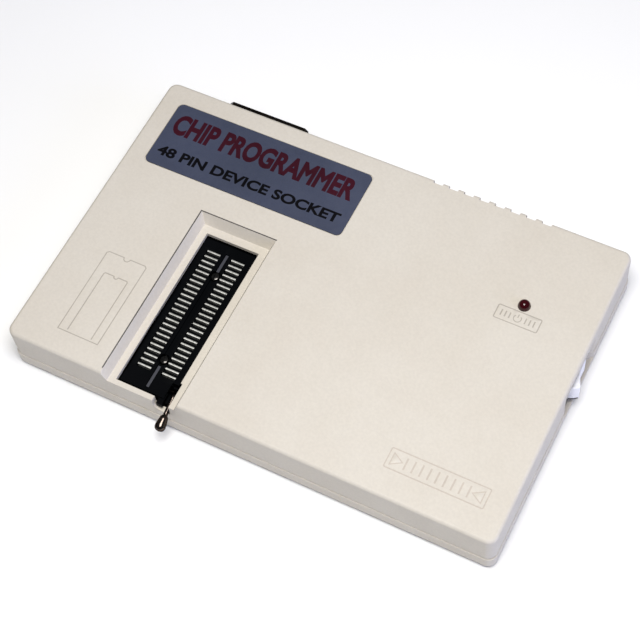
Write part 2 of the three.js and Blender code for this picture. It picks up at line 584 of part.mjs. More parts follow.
function powerLed() {
  const { x, y, radius, dome } = LED;
  const { radius: collar, bottom, top, lead } = LED_FOOT;
  const straight = dome - radius;
  const profile = [[0, bottom], [collar, bottom], [collar, top], [radius, top], [radius, straight]];
  for (let i = 1; i <= 6; i += 1) {
    const angle = i / 6 * Math.PI / 2;
    profile.push([i === 6 ? 0 : radius * Math.cos(angle), straight + radius * Math.sin(angle)]);
  }
  const lens = new THREE.LatheGeometry(profile.map(([r, z]) => new THREE.Vector2(r, z)), 20)
    .rotateX(Math.PI / 2)
    .translate(x, y, 0);
  const leads = [-1, 1].map((side) => box(
    x + side * lead - 0.25, x + side * lead + 0.25, y - 0.25, y + 0.25, MOUNTED, bottom + 0.5));
  return join(lens, ...leads);
}

const ledSpacer = () => cut(
  post(LED.x, LED.y, LED.radius + 0.4, MOUNTED, LED_FOOT.bottom - GAP), post(LED.x, LED.y, 2, 0, TOP, 16));

function heatSink() {
  const { left, right, front, plate, fins, fin, finEnd, top } = SINK;
  const step = (right - left - fin) / (fins - 1);
  const back = box(left, right, front, front + plate, MOUNTED, top);
  const blades = Array.from({ length: fins }, (_, i) => box(
    left + step * i, left + step * i + fin, front + plate - 1, finEnd, MOUNTED + 3, top));
  return join(back, ...blades);
}

function regulator(x) {
  const { half, front, bottom, top, tabTop, leg } = REGULATOR;
  const body = box(x - half, x + half, front, front + 2.8, bottom, top);
  const tab = box(x - half, x + half, front + 2.4, SINK.front - GAP, bottom, tabTop);
  const legs = [-leg, 0, leg].map((dx) => box(
    x + dx - 0.4, x + dx + 0.4, front + 1.4, front + 2, MOUNTED, bottom + 0.6));
  return join(body, tab, ...legs);
}

const capacitor = (x, y, radius, height) => post(x, y, radius, MOUNTED, MOUNTED + height, 24);

const inductor = () => cut(post(74, -6, 6, MOUNTED, MOUNTED + 6, 20), post(74, -6, 2, 0, TOP, 12));

const crystal = () => slab(roundedRectangle(11, 4.6, 2.2, 46, -34), MOUNTED, MOUNTED + 3.6, 6);

const resistorNetwork = (x, y) => box(x - 1.2, x + 1.2, y - 12.7, y + 12.7, MOUNTED, MOUNTED + 5);

// ---- assembly -----------------------------------------------------------------------------------------

const programmer = new THREE.Group();

function add(name, geometry, material) {
  const mesh = new THREE.Mesh(geometry, material);
  mesh.name = name;
  programmer.add(mesh);
}

add('top_shell', topShell(), BEIGE);
add('base_shell', baseShell(), BEIGE);
add('name_label', nameLabel(), LABEL_BLUE);
corners(FEET).forEach((spot, i) => add(`rubber_foot_${i + 1}`, rubberFoot(spot), RUBBER));
corners(CASE_SCREWS).forEach((spot, i) => add(`case_screw_${i + 1}`, caseScrew(spot), STEEL));

add('main_board', mainBoard(), BOARD_GREEN);
corners(BOARD_SCREWS).forEach((spot, i) => add(`board_screw_${i + 1}`, boardScrew(spot), STEEL));

add('socket_base', socketBase(), BLACK);
add('socket_slide_plate', slidePlate(), BLACK);
add('socket_lever', lever(), STEEL);
add('socket_contacts_left', contactRow(rows[0]), TINNED);
add('socket_contacts_right', contactRow(rows[1]), TINNED);
COVER_SCREWS.forEach((y, i) => add(`socket_cover_screw_${i + 1}`, coverScrew(y), STEEL));

add('connector_shell', connectorShell(), STEEL);
add('connector_insert', connectorInsert(), BLACK);
add('connector_body', connectorBody(), BLACK);
screwSpots.forEach((x, i) => add(`jack_screw_${i + 1}`, jackScrew(x), STEEL));
add('dc_inlet', dcInlet(), BLACK);
add('dc_inlet_pin', dcInletPin(), BRASS);

add('power_switch_housing', switchHousing(), BLACK);
add('power_switch_rocker', rocker(), WHITE);
[-1, 1].forEach((side, i) => add(`switch_terminal_${i + 1}`, switchTerminal(side), BRASS));

add('power_led', powerLed(), RED_LENS);
add('led_spacer', ledSpacer(), BLACK);

add('microcontroller_socket', chipSocket(16, -14, 52, 16.5, 3.6), BLACK);
add('microcontroller', chip(16, -14, 52, 13.6, 4, MOUNTED + 3.6 + GAP), EPOXY);
[[-78, -38], [-78, -14], [-13, -52], [-13, -36]].forEach(
  ([x, y], i) => add(`driver_chip_${i + 1}`, chip(x, y, 25, 6.4, 3.6), EPOXY));
[[50, -50], [50, 12]].forEach(([x, y], i) => add(`logic_chip_${i + 1}`, chip(x, y, 31, 6.4, 3.6), EPOXY));
[[-61.5, -34], [-29.6, -20]].forEach(
  ([x, y], i) => add(`resistor_network_${i + 1}`, resistorNetwork(x, y), RESISTOR));

add('heat_sink', heatSink(), ALUMINIUM);
[53, 69].forEach((x, i) => add(`regulator_${i + 1}`, regulator(x), EPOXY));
[[28, 54, 5, 12.5], [12, 54, 5, 12.5], [96, 40, 4, 11]].forEach(
  ([x, y, radius, height], i) => add(`capacitor_${i + 1}`, capacitor(x, y, radius, height), SLEEVE));
add('inductor', inductor(), EPOXY);
add('crystal', crystal(), TINNED);

// The origin is under the middle of the whole object's box, on the surface that it stands on.
const extent = new THREE.Box3().setFromObject(programmer);
programmer.position.set(-(extent.min.x + extent.max.x) / 2, -(extent.min.y + extent.max.y) / 2, -extent.min.z);
programmer.updateMatrixWorld(true);

export default programmer;
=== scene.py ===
"""Looks for a flat two-shell chip programmer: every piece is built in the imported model's own frame."""
import json
import math

import bmesh
import bpy
from mathutils import Matrix, Vector


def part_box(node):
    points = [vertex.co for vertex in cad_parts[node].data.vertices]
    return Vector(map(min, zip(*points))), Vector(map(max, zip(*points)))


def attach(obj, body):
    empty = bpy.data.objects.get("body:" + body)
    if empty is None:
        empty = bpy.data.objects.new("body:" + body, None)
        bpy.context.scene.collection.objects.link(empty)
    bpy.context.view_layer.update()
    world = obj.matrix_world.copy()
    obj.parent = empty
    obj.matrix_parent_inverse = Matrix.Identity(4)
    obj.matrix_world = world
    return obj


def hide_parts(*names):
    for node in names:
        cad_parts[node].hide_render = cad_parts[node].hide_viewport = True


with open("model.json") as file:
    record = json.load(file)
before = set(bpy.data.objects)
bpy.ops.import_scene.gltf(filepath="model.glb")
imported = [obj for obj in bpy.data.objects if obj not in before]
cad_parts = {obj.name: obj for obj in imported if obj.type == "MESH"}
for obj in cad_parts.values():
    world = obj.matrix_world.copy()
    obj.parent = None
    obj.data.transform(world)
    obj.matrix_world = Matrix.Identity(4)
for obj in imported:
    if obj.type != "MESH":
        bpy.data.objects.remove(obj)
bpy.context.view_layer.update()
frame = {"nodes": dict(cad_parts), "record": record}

# ---- the case's own millimetres -----------------------------------------------------------------
# Pieces are drawn in millimetres from the middle of the case's underside, then put in the frame.

MM = 0.001
base_low, base_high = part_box("base_shell")
CASE = Vector(((base_low.x + base_high.x) / 2, (base_low.y + base_high.y) / 2, 0.0))


def span(node):
    """The lowest and highest corner of a CAD node, in the case's millimetres."""
    low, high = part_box(node)
    return (low - CASE) / MM, (high - CASE) / MM


def joint(name):
    """A joint as the record states it."""
    return next(entry for entry in frame["record"]["behaviour"]["joints"] if entry["name"] == name)


def pivot_of(name):
    """The place of a hinge, in the case's millimetres."""
    return (Vector(joint(name)["pos_m"]) - CASE) / MM


shell_low, shell_high = span("top_shell")
socket_low, socket_high = span("socket_base")
TOP = shell_high.z
RIGHT = shell_high.x
FRONT = shell_low.y
WELL_LEFT = socket_low.x - 4.45
WELL_RIGHT = socket_high.x + 6.05
WELL_BACK = socket_high.y + 5.4
BOARD_TOP = span("main_board")[1].z


# ---- mesh helpers ---------------------------------------------------------------------------------

SHARP_EDGE = 35.0


def make(name, bm, material, body="case", stands_for=(), bevel=0.0, segments=2,
         smooth=SHARP_EDGE, normals=True):
    """Turns a bmesh into a finished piece: shading, edge bevel, material and body."""
    bmesh.ops.recalc_face_normals(bm, faces=bm.faces)
    to_frame = Matrix.Translation(CASE) @ Matrix.Scale(MM, 4)
    bmesh.ops.transform(bm, matrix=to_frame, verts=bm.verts)
    mesh = bpy.data.meshes.new(name)
    bm.to_mesh(mesh)
    bm.free()
    mesh.polygons.foreach_set("use_smooth", [True] * len(mesh.polygons))
    mesh.set_sharp_from_angle(angle=math.radians(smooth))
    mesh.materials.append(material)
    obj = bpy.data.objects.new(name, mesh)
    bpy.context.scene.collection.objects.link(obj)
    soften(obj, bevel, segments, smooth, normals)
    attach(obj, body)
    if stands_for:
        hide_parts(*stands_for)


def soften(obj, bevel, segments=2, angle=SHARP_EDGE, normals=True):
    """Rounds the sharp edges of an object by a small width, in millimetres."""
    if bevel:
        rounding = obj.modifiers.new("edges", "BEVEL")
        rounding.width = bevel * MM
        rounding.segments = segments
        rounding.limit_method = "ANGLE"
        rounding.angle_limit = math.radians(angle)
        rounding.use_clamp_overlap = False
        rounding.miter_outer = "MITER_ARC"
    if normals:
        weighted = obj.modifiers.new("normals", "WEIGHTED_NORMAL")
        weighted.keep_sharp = not bevel


def copied(node):
    """A CAD node's shape as a clean bmesh in the case's millimetres."""
    bm = bmesh.new()
    bm.from_mesh(frame["nodes"][node].data)
    to_case = Matrix.Scale(1 / MM, 4) @ Matrix.Translation(-CASE)
    bmesh.ops.transform(bm, matrix=to_case, verts=bm.verts)
    bmesh.ops.remove_doubles(bm, verts=bm.verts, dist=0.002)
    bmesh.ops.dissolve_limit(bm, angle_limit=math.radians(0.6), verts=bm.verts, edges=bm.edges)
    return bm


def carve(bm, cutters):
    """bm with other closed meshes cut away from it, as a new bmesh."""
    objects = []
    for name, source in (("carved", bm), ("cutters", cutters)):
        bmesh.ops.recalc_face_normals(source, faces=source.faces)
        mesh = bpy.data.meshes.new(name)
        source.to_mesh(mesh)
        source.free()
        objects.append(bpy.data.objects.new(name, mesh))
        bpy.context.scene.collection.objects.link(objects[-1])
    target, tool = objects
    boolean = target.modifiers.new("boolean", "BOOLEAN")
    boolean.operation = "DIFFERENCE"
    boolean.object = tool
    boolean.solver = "MANIFOLD"
    bpy.context.view_layer.update()
    evaluated = target.evaluated_get(bpy.context.evaluated_depsgraph_get())
    result = bmesh.new()
    result.from_mesh(evaluated.to_mesh())
    evaluated.to_mesh_clear()
    for obj in objects:
        mesh = obj.data
        bpy.data.objects.remove(obj)
        bpy.data.meshes.remove(mesh)
    return result


def absorb(bm, other):
    """Adds the shape of another bmesh to bm."""
    mesh = bpy.data.meshes.new("absorbed")
    other.to_mesh(mesh)
    other.free()
    bm.from_mesh(mesh)
    bpy.data.meshes.remove(mesh)


def block(bm, x0, x1, y0, y1, z0, z1, place=Matrix.Identity(4)):
    """A box between two corners."""
    size = Matrix.Diagonal((x1 - x0, y1 - y0, z1 - z0, 1))
    middle = Matrix.Translation(((x0 + x1) / 2, (y0 + y1) / 2, (z0 + z1) / 2))
    bmesh.ops.create_cube(bm, size=1, matrix=place @ middle @ size)


def turn(sides):
    """The angles of a full circle's steps."""
    return [2 * math.pi * i / sides for i in range(sides)]


def bridge(bm, rings):
    """Closes a run of equal rings into a solid: quads between them and a face on each end."""
    for lower, upper in zip(rings, rings[1:]):
        for i in range(len(lower)):
            j = (i + 1) % len(lower)
            bm.faces.new((lower[i], lower[j], upper[j], upper[i]))
    bm.faces.new(list(reversed(rings[0])))
    bm.faces.new(rings[-1])


def prism(bm, outline, z0, z1, place=Matrix.Identity(4)):
    """An outline in x and y, extruded from z0 to z1."""
    bridge(bm, [[bm.verts.new(place @ Vector((x, y, z))) for x, y in outline] for z in (z0, z1)])


def lathe(bm, profile, place, sides):
    """A profile of (radius, height) turned about the local Z axis, closed flat where it ends off the axis."""
    rings = []
    for radius, height in profile:
        steps = turn(sides) if radius > 1e-6 else [0.0]
        corners = [Vector((radius * math.cos(a), radius * math.sin(a), height)) for a in steps]
        rings.append([bm.verts.new(place @ corner) for corner in corners])
    for lower, upper in zip(rings, rings[1:]):
        for i in range(sides):
            j = (i + 1) % sides
            quad = [lower[i % len(lower)], lower[j % len(lower)]]
            quad += [upper[j % len(upper)], upper[i % len(upper)]]
            corners = list(dict.fromkeys(quad))
            if len(corners) > 2:
                bm.faces.new(corners)
    for ring in (rings[0], rings[-1]):
        if len(ring) > 1:
            bm.faces.new(ring)


def sweep(bm, points, radii, sides):
    """A round section carried along points, closed at both ends. radii has one value for each point."""
    tangents = []
    for i in range(len(points)):
        before = points[max(i - 1, 0)]
        after = points[min(i + 1, len(points) - 1)]
        tangents.append((after - before).normalized())
    side = tangents[0].orthogonal().normalized()
    rings = []
    for point, tangent, radius in zip(points, tangents, radii):
        side = (side - tangent * side.dot(tangent)).normalized()
        other = tangent.cross(side)
        spokes = [side * math.cos(a) + other * math.sin(a) for a in turn(sides)]
        rings.append([bm.verts.new(point + spoke * radius) for spoke in spokes])
    bridge(bm, rings)


THREAD_SIDES = 20
ROWS_PER_PITCH = 5


def thread(bm, place, radius, depth, pitch, z0, z1):
    """A shank with a real helical thread, rounded off at its lower end."""
    rows = max(int((z1 - z0) / pitch * ROWS_PER_PITCH), 6)
    rings = []
    for row in range(rows + 1):
        z = z0 + (z1 - z0) * row / rows
        taper = min(1.0, 0.45 + (z - z0) / (2.2 * pitch))
        ring = []
        for k, a in enumerate(turn(THREAD_SIDES)):
            phase = (z / pitch - k / THREAD_SIDES) % 1.0
            r = (radius - depth * abs(2 * phase - 1)) * taper
            ring.append(bm.verts.new(place @ Vector((r * math.cos(a), r * math.sin(a), z))))
        rings.append(ring)
    bridge(bm, rings)


def arc(radius, start, stop, steps, x=0.0, y=0.0):
    """Points along an arc, from one angle to another in degrees, with both ends."""
    angles = [math.radians(start + (stop - start) * k / steps) for k in range(steps + 1)]
    return [(x + radius * math.cos(a), y + radius * math.sin(a)) for a in angles]


def rounded(x0, x1, y0, y1, radius, steps):
    """The outline of a rectangle with round corners."""
    outline = []
    for x, y, start in (
        (x1 - radius, y1 - radius, 0), (x0 + radius, y1 - radius, 90),
        (x0 + radius, y0 + radius, 180), (x1 - radius, y0 + radius, 270),
    ):
        outline += arc(radius, start, start + 90, steps, x, y)
    return outline


LEAST_MITRE = 0.4


def line(bm, path, width, foot, z0, z1, closed):
    """A strip along a flat path, mitred at its corners: foot wide at z0 and width wide at z1."""
    points = [Vector(p) for p in path]
    count = len(points)
    edges = {-1: [], 1: []}
    for i, point in enumerate(points):
        before = points[i - 1] if closed or i else point
        after = points[(i + 1) % count] if closed or i + 1 < count else point
        arrive = (point - before) if (point - before).length else (after - point)
        leave = (after - point) if (after - point).length else (point - before)
        arrive, leave = arrive.normalized(), leave.normalized()
        normal = Vector((-(arrive.y + leave.y), arrive.x + leave.x)).normalized()
        reach = width / 2 / max(normal.dot(Vector((-arrive.y, arrive.x))), LEAST_MITRE)
        for side in edges:
            edges[side].append((point, point + normal * reach * side))
    low_in, low_out, high_in, high_out = (
        [bm.verts.new((*middle.lerp(edge, share), z)) for middle, edge in edges[side]]
        for z, share in ((z0, foot / width), (z1, 1.0)) for side in (-1, 1)
    )
    for i in range(count if closed else count - 1):
        j = (i + 1) % count
        bm.faces.new((low_in[i], low_in[j], low_out[j], low_out[i]))
        bm.faces.new((high_in[i], high_out[i], high_out[j], high_in[j]))
        bm.faces.new((low_in[i], high_in[i], high_in[j], low_in[j]))
        bm.faces.new((low_out[i], low_out[j], high_out[j], high_out[i]))
    if not closed:
        bm.faces.new((low_in[0], low_out[0], high_out[0], high_in[0]))
        bm.faces.new((low_in[-1], high_in[-1], high_out[-1], low_out[-1]))


def upright(low, high):
    """Local Z runs up the middle of a box, from the floor."""
    return Matrix.Translation(((low.x + high.x) / 2, (low.y + high.y) / 2, 0.0))


def hanging(low, high):
    """Local Z runs down the middle of a box, from the floor."""
    return upright(low, high) @ Matrix.Rotation(math.pi, 4, "X")


def along_x(x, y, z):
    """Local Z runs along +X."""
    return Matrix.Translation((x, y, z)) @ Matrix.Rotation(math.radians(90), 4, "Y")


# ---- materials ------------------------------------------------------------------------------------

class Nodes:
    """A small builder for one material's node tree."""

    def __init__(self, name):
        self.material = bpy.data.materials.new(name)
        self.material.use_nodes = True
        self.tree = self.material.node_tree
        self.shader = self.tree.nodes["Principled BSDF"]
        self.place = self.tree.nodes.new("ShaderNodeTexCoord").outputs["Object"]

    def set(self, target, value):
        """Links a socket to an input, or gives the input a number or a colour."""
        if isinstance(value, bpy.types.NodeSocket):
            self.tree.links.new(value, target)
        else:
            target.default_value = value

    def node(self, kind, inputs=None, **settings):
        made = self.tree.nodes.new(kind)
        for key, value in settings.items():
            setattr(made, key, value)
        for key, value in (inputs or {}).items():
            self.set(made.inputs[key], value)
        return made

    def stretched(self, scale):
        return self.node("ShaderNodeMapping", {"Vector": self.place, "Scale": scale}).outputs["Vector"]

    def noise(self, scale, detail=3.0, rough=0.5, vector=None):
        inputs = {"Vector": vector or self.place, "Scale": scale, "Detail": detail, "Roughness": rough}
        return self.node("ShaderNodeTexNoise", inputs).outputs["Fac"]

    def ramp(self, factor, stops):
        made = self.node("ShaderNodeValToRGB", {"Fac": factor})
        for element, (position, colour) in zip(made.color_ramp.elements, stops, strict=True):
            element.position = position
            element.color = (*colour, 1) if isinstance(colour, tuple) else (colour, colour, colour, 1)
        return made.outputs["Color"]

    def mix(self, factor, first, second, blend="MIX"):
        made = self.node("ShaderNodeMix", data_type="RGBA", blend_type=blend)
        for socket, value in ((0, factor), (6, first), (7, second)):
            self.set(made.inputs[socket], (*value, 1) if isinstance(value, tuple) else value)
        return made.outputs[2]

    def bump(self, height, strength, distance, below=None):
        inputs = {"Height": height, "Strength": strength, "Distance": distance * MM}
        if below:
            inputs["Normal"] = below
        return self.node("ShaderNodeBump", inputs).outputs["Normal"]

    def finish(self, colour, roughness, normal, **sockets):
        """Joins the three channels to the shader and sets its other sockets, spaces written as _."""
        values = {"Base Color": colour, "Roughness": roughness, "Normal": normal}
        values.update({key.replace("_", " "): value for key, value in sockets.items()})
        for key, value in values.items():
            self.set(self.shader.inputs[key], (*value, 1) if isinstance(value, tuple) else value)
        return self.material


def srgb(red, green, blue):
    """A colour as it looks on screen, 0 to 255, as the linear values a shader takes."""
    def linear(value):
        value /= 255
        return value / 12.92 if value <= 0.04045 else ((value + 0.055) / 1.055) ** 2.4
    return linear(red), linear(green), linear(blue)


def moulded_plastic(name, light, dark, rough, grain=1500, height=0.02, gloss=0.45):
    """Moulded plastic: a fine spark-eroded grain, faint cloudy colour and a slightly uneven sheen."""
    n = Nodes(name)
    cloud = n.ramp(n.noise(22, 4, 0.6), [(0.35, dark), (0.65, light)])
    fleck = n.ramp(n.noise(900, 2), [(0.3, 0.94), (0.7, 1.0)])
    colour = n.mix(1.0, cloud, fleck, "MULTIPLY")
    sheen = n.ramp(n.noise(60, 3), [(0.3, rough - 0.07), (0.7, rough + 0.07)])
    broad = n.bump(n.noise(45, 2), 0.25, 0.06)
    normal = n.bump(n.noise(grain, 3, 0.65), 0.5, height, broad)
    return n.finish(colour, sheen, normal, Specular_IOR_Level=gloss)


def metal(name, light, dark, rough, stretch=(60, 900, 900), scratch=0.012, edge=1.0):
    """Metal with drawn streaks, small pits and an uneven polish; edge is its tint at a grazing angle."""
    n = Nodes(name)
    streak = n.noise(1, 4, 0.6, n.stretched(stretch))
    patch = n.noise(180, 3)
    colour = n.mix(n.ramp(n.mix(0.5, streak, patch), [(0.35, 0.0), (0.65, 1.0)]), dark, light)
    polish = n.ramp(streak, [(0.25, rough - 0.05), (0.75, rough + 0.1)])
    normal = n.bump(streak, 0.35, scratch, n.bump(patch, 0.2, 0.02))
    return n.finish(colour, polish, normal, Metallic=1.0, Specular_Tint=(edge, edge, edge))


def printed_film(name, light, dark, rough, gloss=0.5):
    """A printed polyester film: very fine dot grain over a slightly uneven ink."""
    n = Nodes(name)
    dots = n.node("ShaderNodeTexVoronoi", {"Vector": n.place, "Scale": 1600}).outputs["Distance"]
    ink = n.mix(n.ramp(n.noise(35, 4), [(0.35, 0.0), (0.65, 1.0)]), dark, light)
    speckled = n.mix(1.0, ink, n.ramp(dots, [(0.1, 0.78), (0.6, 1.08)]), "MULTIPLY")
    colour = n.mix(0.35, ink, speckled)
    sheen = n.ramp(n.noise(400, 2), [(0.3, rough - 0.06), (0.7, rough + 0.06)])
    normal = n.bump(n.noise(1300, 2), 0.3, 0.01, n.bump(n.noise(60, 2), 0.2, 0.05))
    return n.finish(colour, sheen, normal, Specular_IOR_Level=gloss)


def rubber(name):
    """Dull black rubber with a little dust on it."""
    n = Nodes(name)
    colour = n.ramp(n.noise(500, 4), [(0.3, srgb(28, 28, 29)), (0.7, srgb(48, 47, 46))])
    dust_and_shade = n.ramp(n.noise(120, 3), [(0.5, 0.78), (0.8, 0.95)])
    return n.finish(colour, dust_and_shade, n.bump(n.noise(1800, 3), 0.7, 0.04), Specular_IOR_Level=0.25)


def tinted_lens(name):
    """Dark tinted epoxy that lets a little light through."""
    n = Nodes(name)
    depth = n.ramp(n.noise(300, 2), [(0.3, srgb(46, 1, 7)), (0.7, srgb(58, 2, 10))])
    sheen = n.ramp(n.noise(900, 2), [(0.3, 0.05), (0.7, 0.1)])
    return n.finish(depth, sheen, n.bump(n.noise(700, 2), 0.1, 0.01),
                    Transmission_Weight=0.1, IOR=1.5, Specular_IOR_Level=0.4)


def circuit_board(name):
    """Green solder mask over copper tracks, with a woven glass texture under it."""
    n = Nodes(name)
    track = n.node("ShaderNodeTexBrick", {
        "Vector": n.stretched((1, 1, 1)), "Scale": 60.0,
        "Mortar Size": 0.06, "Brick Width": 0.9, "Row Height": 0.14,
        "Color1": (0, 0, 0, 1), "Color2": (0.2, 0.2, 0.2, 1), "Mortar": (1, 1, 1, 1),
    }).outputs["Color"]
    weave = n.noise(1, 2, 0.5, n.stretched((2500, 900, 900)))
    mask = n.ramp(n.noise(40, 3), [(0.3, srgb(20, 78, 48)), (0.7, srgb(28, 96, 58))])
    colour = n.mix(track, mask, srgb(46, 128, 72))
    colour = n.mix(0.12, colour, n.ramp(weave, [(0.3, 0.0), (0.7, 0.5)]))
    sheen = n.ramp(n.noise(700, 2), [(0.3, 0.25), (0.7, 0.4)])
    return n.finish(colour, sheen, n.bump(track, 0.4, 0.03, n.bump(weave, 0.2, 0.01)))


def epoxy_chip(name):
    """The matt black moulding of a chip."""
    n = Nodes(name)
    colour = n.ramp(n.noise(1200, 4, 0.7), [(0.3, srgb(22, 22, 24)), (0.75, srgb(44, 44, 46))])
    sheen = n.ramp(n.noise(200, 3), [(0.3, 0.5), (0.7, 0.66)])
    return n.finish(colour, sheen, n.bump(n.noise(2200, 3), 0.6, 0.02))


def paper_floor(name):
    """Plain pale background paper."""
    n = Nodes(name)
    colour = n.ramp(n.noise(3, 4), [(0.3, (0.75, 0.75, 0.75)), (0.7, (0.77, 0.77, 0.77))])
    sheen = n.ramp(n.noise(200, 3), [(0.3, 0.85), (0.7, 0.95)])
    return n.finish(colour, sheen, n.bump(n.noise(900, 3), 0.1, 0.05), Specular_IOR_Level=0.1)


BEIGE = moulded_plastic("beige_plastic", srgb(204, 198, 187), srgb(200, 193, 181), 0.58)
SOCKET_BLACK = moulded_plastic("socket_plastic", srgb(8, 9, 11), srgb(4, 5, 7), 0.5, 2200, 0.015, 0.03)
NYLON = moulded_plastic("black_nylon", srgb(30, 30, 32), srgb(22, 22, 24), 0.5, 2400, 0.02)
ROCKER_WHITE = moulded_plastic("white_rocker", srgb(240, 240, 244), srgb(233, 233, 238), 0.3, 2600, 0.008)
FILM = printed_film("label_film", srgb(58, 64, 84), srgb(52, 58, 77), 0.5)
MAROON_INK = printed_film("maroon_ink", srgb(55, 9, 25), srgb(47, 7, 21), 0.45, 0.2)
INK_AND_SHADOW_BLACK = printed_film("black_ink_and_shadow", srgb(7, 7, 11), srgb(4, 4, 7), 0.5, 0.1)
RUBBER = rubber("foot_rubber")
# Painted reflection: the rod's dark base colour and dark grazing tint stand in for the dark surroundings the
# polished rod reflects.
LEVER_STEEL = metal("polished_steel", srgb(96, 88, 82), srgb(58, 50, 46), 0.13, (900, 60, 900), 0.004, 0.08)
DARK_SCREW = metal("blackened_steel", srgb(84, 82, 80), srgb(40, 39, 38), 0.2)
# Painted shade: a grey for strips laid in the chip outlines' and lamp panel's grooves, so they read as dark
# lines.
LINE_SHADE = moulded_plastic("line_shade", srgb(172, 166, 156), srgb(163, 157, 147), 0.8, 1500, 0.01, 0.1)
# Painted shade: a paler grey for the strips in the badge's grooves.
BADGE_SHADE = moulded_plastic("badge_shade", srgb(192, 183, 172), srgb(184, 175, 164), 0.8, 1500, 0.01, 0.1)
# Painted shade: a dark grey for the strip in the groove along the well's rim, standing in for the dark line
# at its edge.
RIM_SHADE = moulded_plastic("edge_shade", srgb(98, 95, 92), srgb(86, 83, 80), 0.8, 1500, 0.01, 0.1)
GROOVE_GREY = moulded_plastic("polished_grey_and_highlight", srgb(76, 77, 84), srgb(62, 63, 70), 0.3, 2200, 0.01)
SCREW_STEEL = metal("zinc_steel", srgb(205, 205, 208), srgb(170, 170, 172), 0.3)
SHELL_STEEL = metal("plated_shell", srgb(62, 56, 50), srgb(40, 36, 32), 0.3)
TIN = metal("tin_plate", srgb(240, 240, 236), srgb(212, 213, 206), 0.44, (1500, 300, 300), 0.006)
BRASS = metal("brass", srgb(214, 178, 104), srgb(186, 146, 76), 0.3)
ALUMINIUM = metal("extruded_aluminium", srgb(204, 206, 208), srgb(176, 178, 181), 0.38, (900, 900, 60))
LENS = tinted_lens("red_lens")
BOARD = circuit_board("solder_mask")
EPOXY = epoxy_chip("chip_epoxy")
SLEEVE = printed_film("capacitor_sleeve", srgb(42, 52, 96), srgb(34, 42, 82), 0.32)
RESISTOR = moulded_plastic("resistor_coating", srgb(150, 56, 40), srgb(132, 44, 32), 0.42, 1500, 0.03)
FLOOR = paper_floor("paper")


# ---- shells -----------------------------------------------------------------------------------------

GROOVE_DEPTH = 0.7
SIGN_DEPTH = 0.4
GROOVE_FOOT = 0.1
LINE_WIDTH = 0.5
TICK_WIDTH = 0.6
BAR_WIDTH = 0.8
RIM_WIDTH = 0.62
RIM_OFFSET = 0.34
CUT_ABOVE = 0.1
# Where the strips of painted shade sit: below the surface and clear of the cut's walls.
SHADE_BELOW = 0.06
SHADE_GAP = 0.02
TOP_BEVEL = 0.14


def engrave(bm, path, closed=True, width=LINE_WIDTH, depth=GROOVE_DEPTH):
    """A cutter for a V-shaped groove of one width at the surface."""
    spread = width + (width - GROOVE_FOOT) * CUT_ABOVE / depth
    line(bm, path, spread, GROOVE_FOOT, TOP - depth, TOP + CUT_ABOVE, closed)


def lay_shade(bm, path, closed=True, width=LINE_WIDTH, depth=GROOVE_DEPTH):
    """A strip of painted shade lying in such a groove, a little lower and narrower than the cut."""
    spread = width - (width - GROOVE_FOOT) * SHADE_BELOW / depth - SHADE_GAP
    line(bm, path, spread, GROOVE_FOOT - SHADE_GAP, TOP - depth + SHADE_GAP, TOP - SHADE_BELOW, closed)


def chip_outline(x0, x1, y0, y1, notch, chamfer):
    """The plan of a chip with its half-round mark in the rear edge, as a path."""
    left = [(x0, y0), (x0, y1 - chamfer), (x0 + chamfer, y1)]
    right = [(x1 - chamfer, y1), (x1, y1 - chamfer), (x1, y0)]
    return left + arc(notch, 180, 360, 6, (x0 + x1) / 2, y1) + right


def device_outlines(stroke, bm):
    """A long and a shorter chip in outline, which show how a device sits in the socket."""
    x0, x1, y0, y1 = WELL_LEFT - 26.4, WELL_LEFT - 7.5, FRONT + 10.65, FRONT + 50.85
    stroke(bm, chip_outline(x0, x1, y0, y1, 1.5, 0.8))
    stroke(bm, chip_outline(x0 + 4.1, x1 - 3.6, y0 + 0.9, y1 - 9.6, 1.0, 0.5), False)


def lamp_panel(stroke, bm):
    """The framed sign in front of the lamp: the power sign between two groups of ticks."""
    low, high = span("power_led")
    lamp = (low + high) / 2
    x, y, tick, radius = lamp.x - 0.2, lamp.y - 6.35, 1.4, 1.6
    stroke(bm, rounded(lamp.x - 9.4, lamp.x + 9.1, lamp.y - 9.5, lamp.y - 3.2, 0.5, 2))
    stroke(bm, arc(radius, 135, 405, 18, x, y - 0.1), False, LINE_WIDTH, SIGN_DEPTH)
    stem = [(x, y - 0.1 + radius * 0.2), (x, y - 0.1 + radius * 1.25)]
    stroke(bm, stem, False, LINE_WIDTH, SIGN_DEPTH)
    for side in (-1, 1):
        for k in range(3):
            place = x + side * (3.4 + 1.8 * k)
            stroke(bm, [(place, y - tick), (place, y + tick)], False, TICK_WIDTH)


def badge(stroke, bm):
    """A plain decorative panel: a row of upright bars between two triangles, in a frame."""
    x0, x1, y0, y1 = RIGHT - 51.25, RIGHT - 9.95, FRONT + 11.75, FRONT + 20.35
    inset, point, gap, bars = 1.7, 4.4, 1.4, 9
    low, high, middle = y0 + inset, y1 - inset, (y0 + y1) / 2
    stroke(bm, rounded(x0, x1, y0, y1, 0.5, 2))
    stroke(bm, [(x0 + inset, low), (x0 + inset + point, middle), (x0 + inset, high)])
    stroke(bm, [(x1 - inset, low), (x1 - inset, high), (x1 - inset - point, middle)])
    start = x0 + inset + point + gap
    step = (x0 + x1 - 2 * start) / (bars - 1)
    for i in range(bars):
        stroke(bm, [(start + step * i, low), (start + step * i, high)], False, BAR_WIDTH)


def well_line(stroke, bm):
    """The fine line along the left and rear edges of the well."""
    left, right, back = WELL_LEFT - RIM_OFFSET, WELL_RIGHT + RIM_OFFSET, WELL_BACK + RIM_OFFSET
    stroke(bm, [(left, FRONT + 2.5), (left, back), (right, back)], False, RIM_WIDTH)


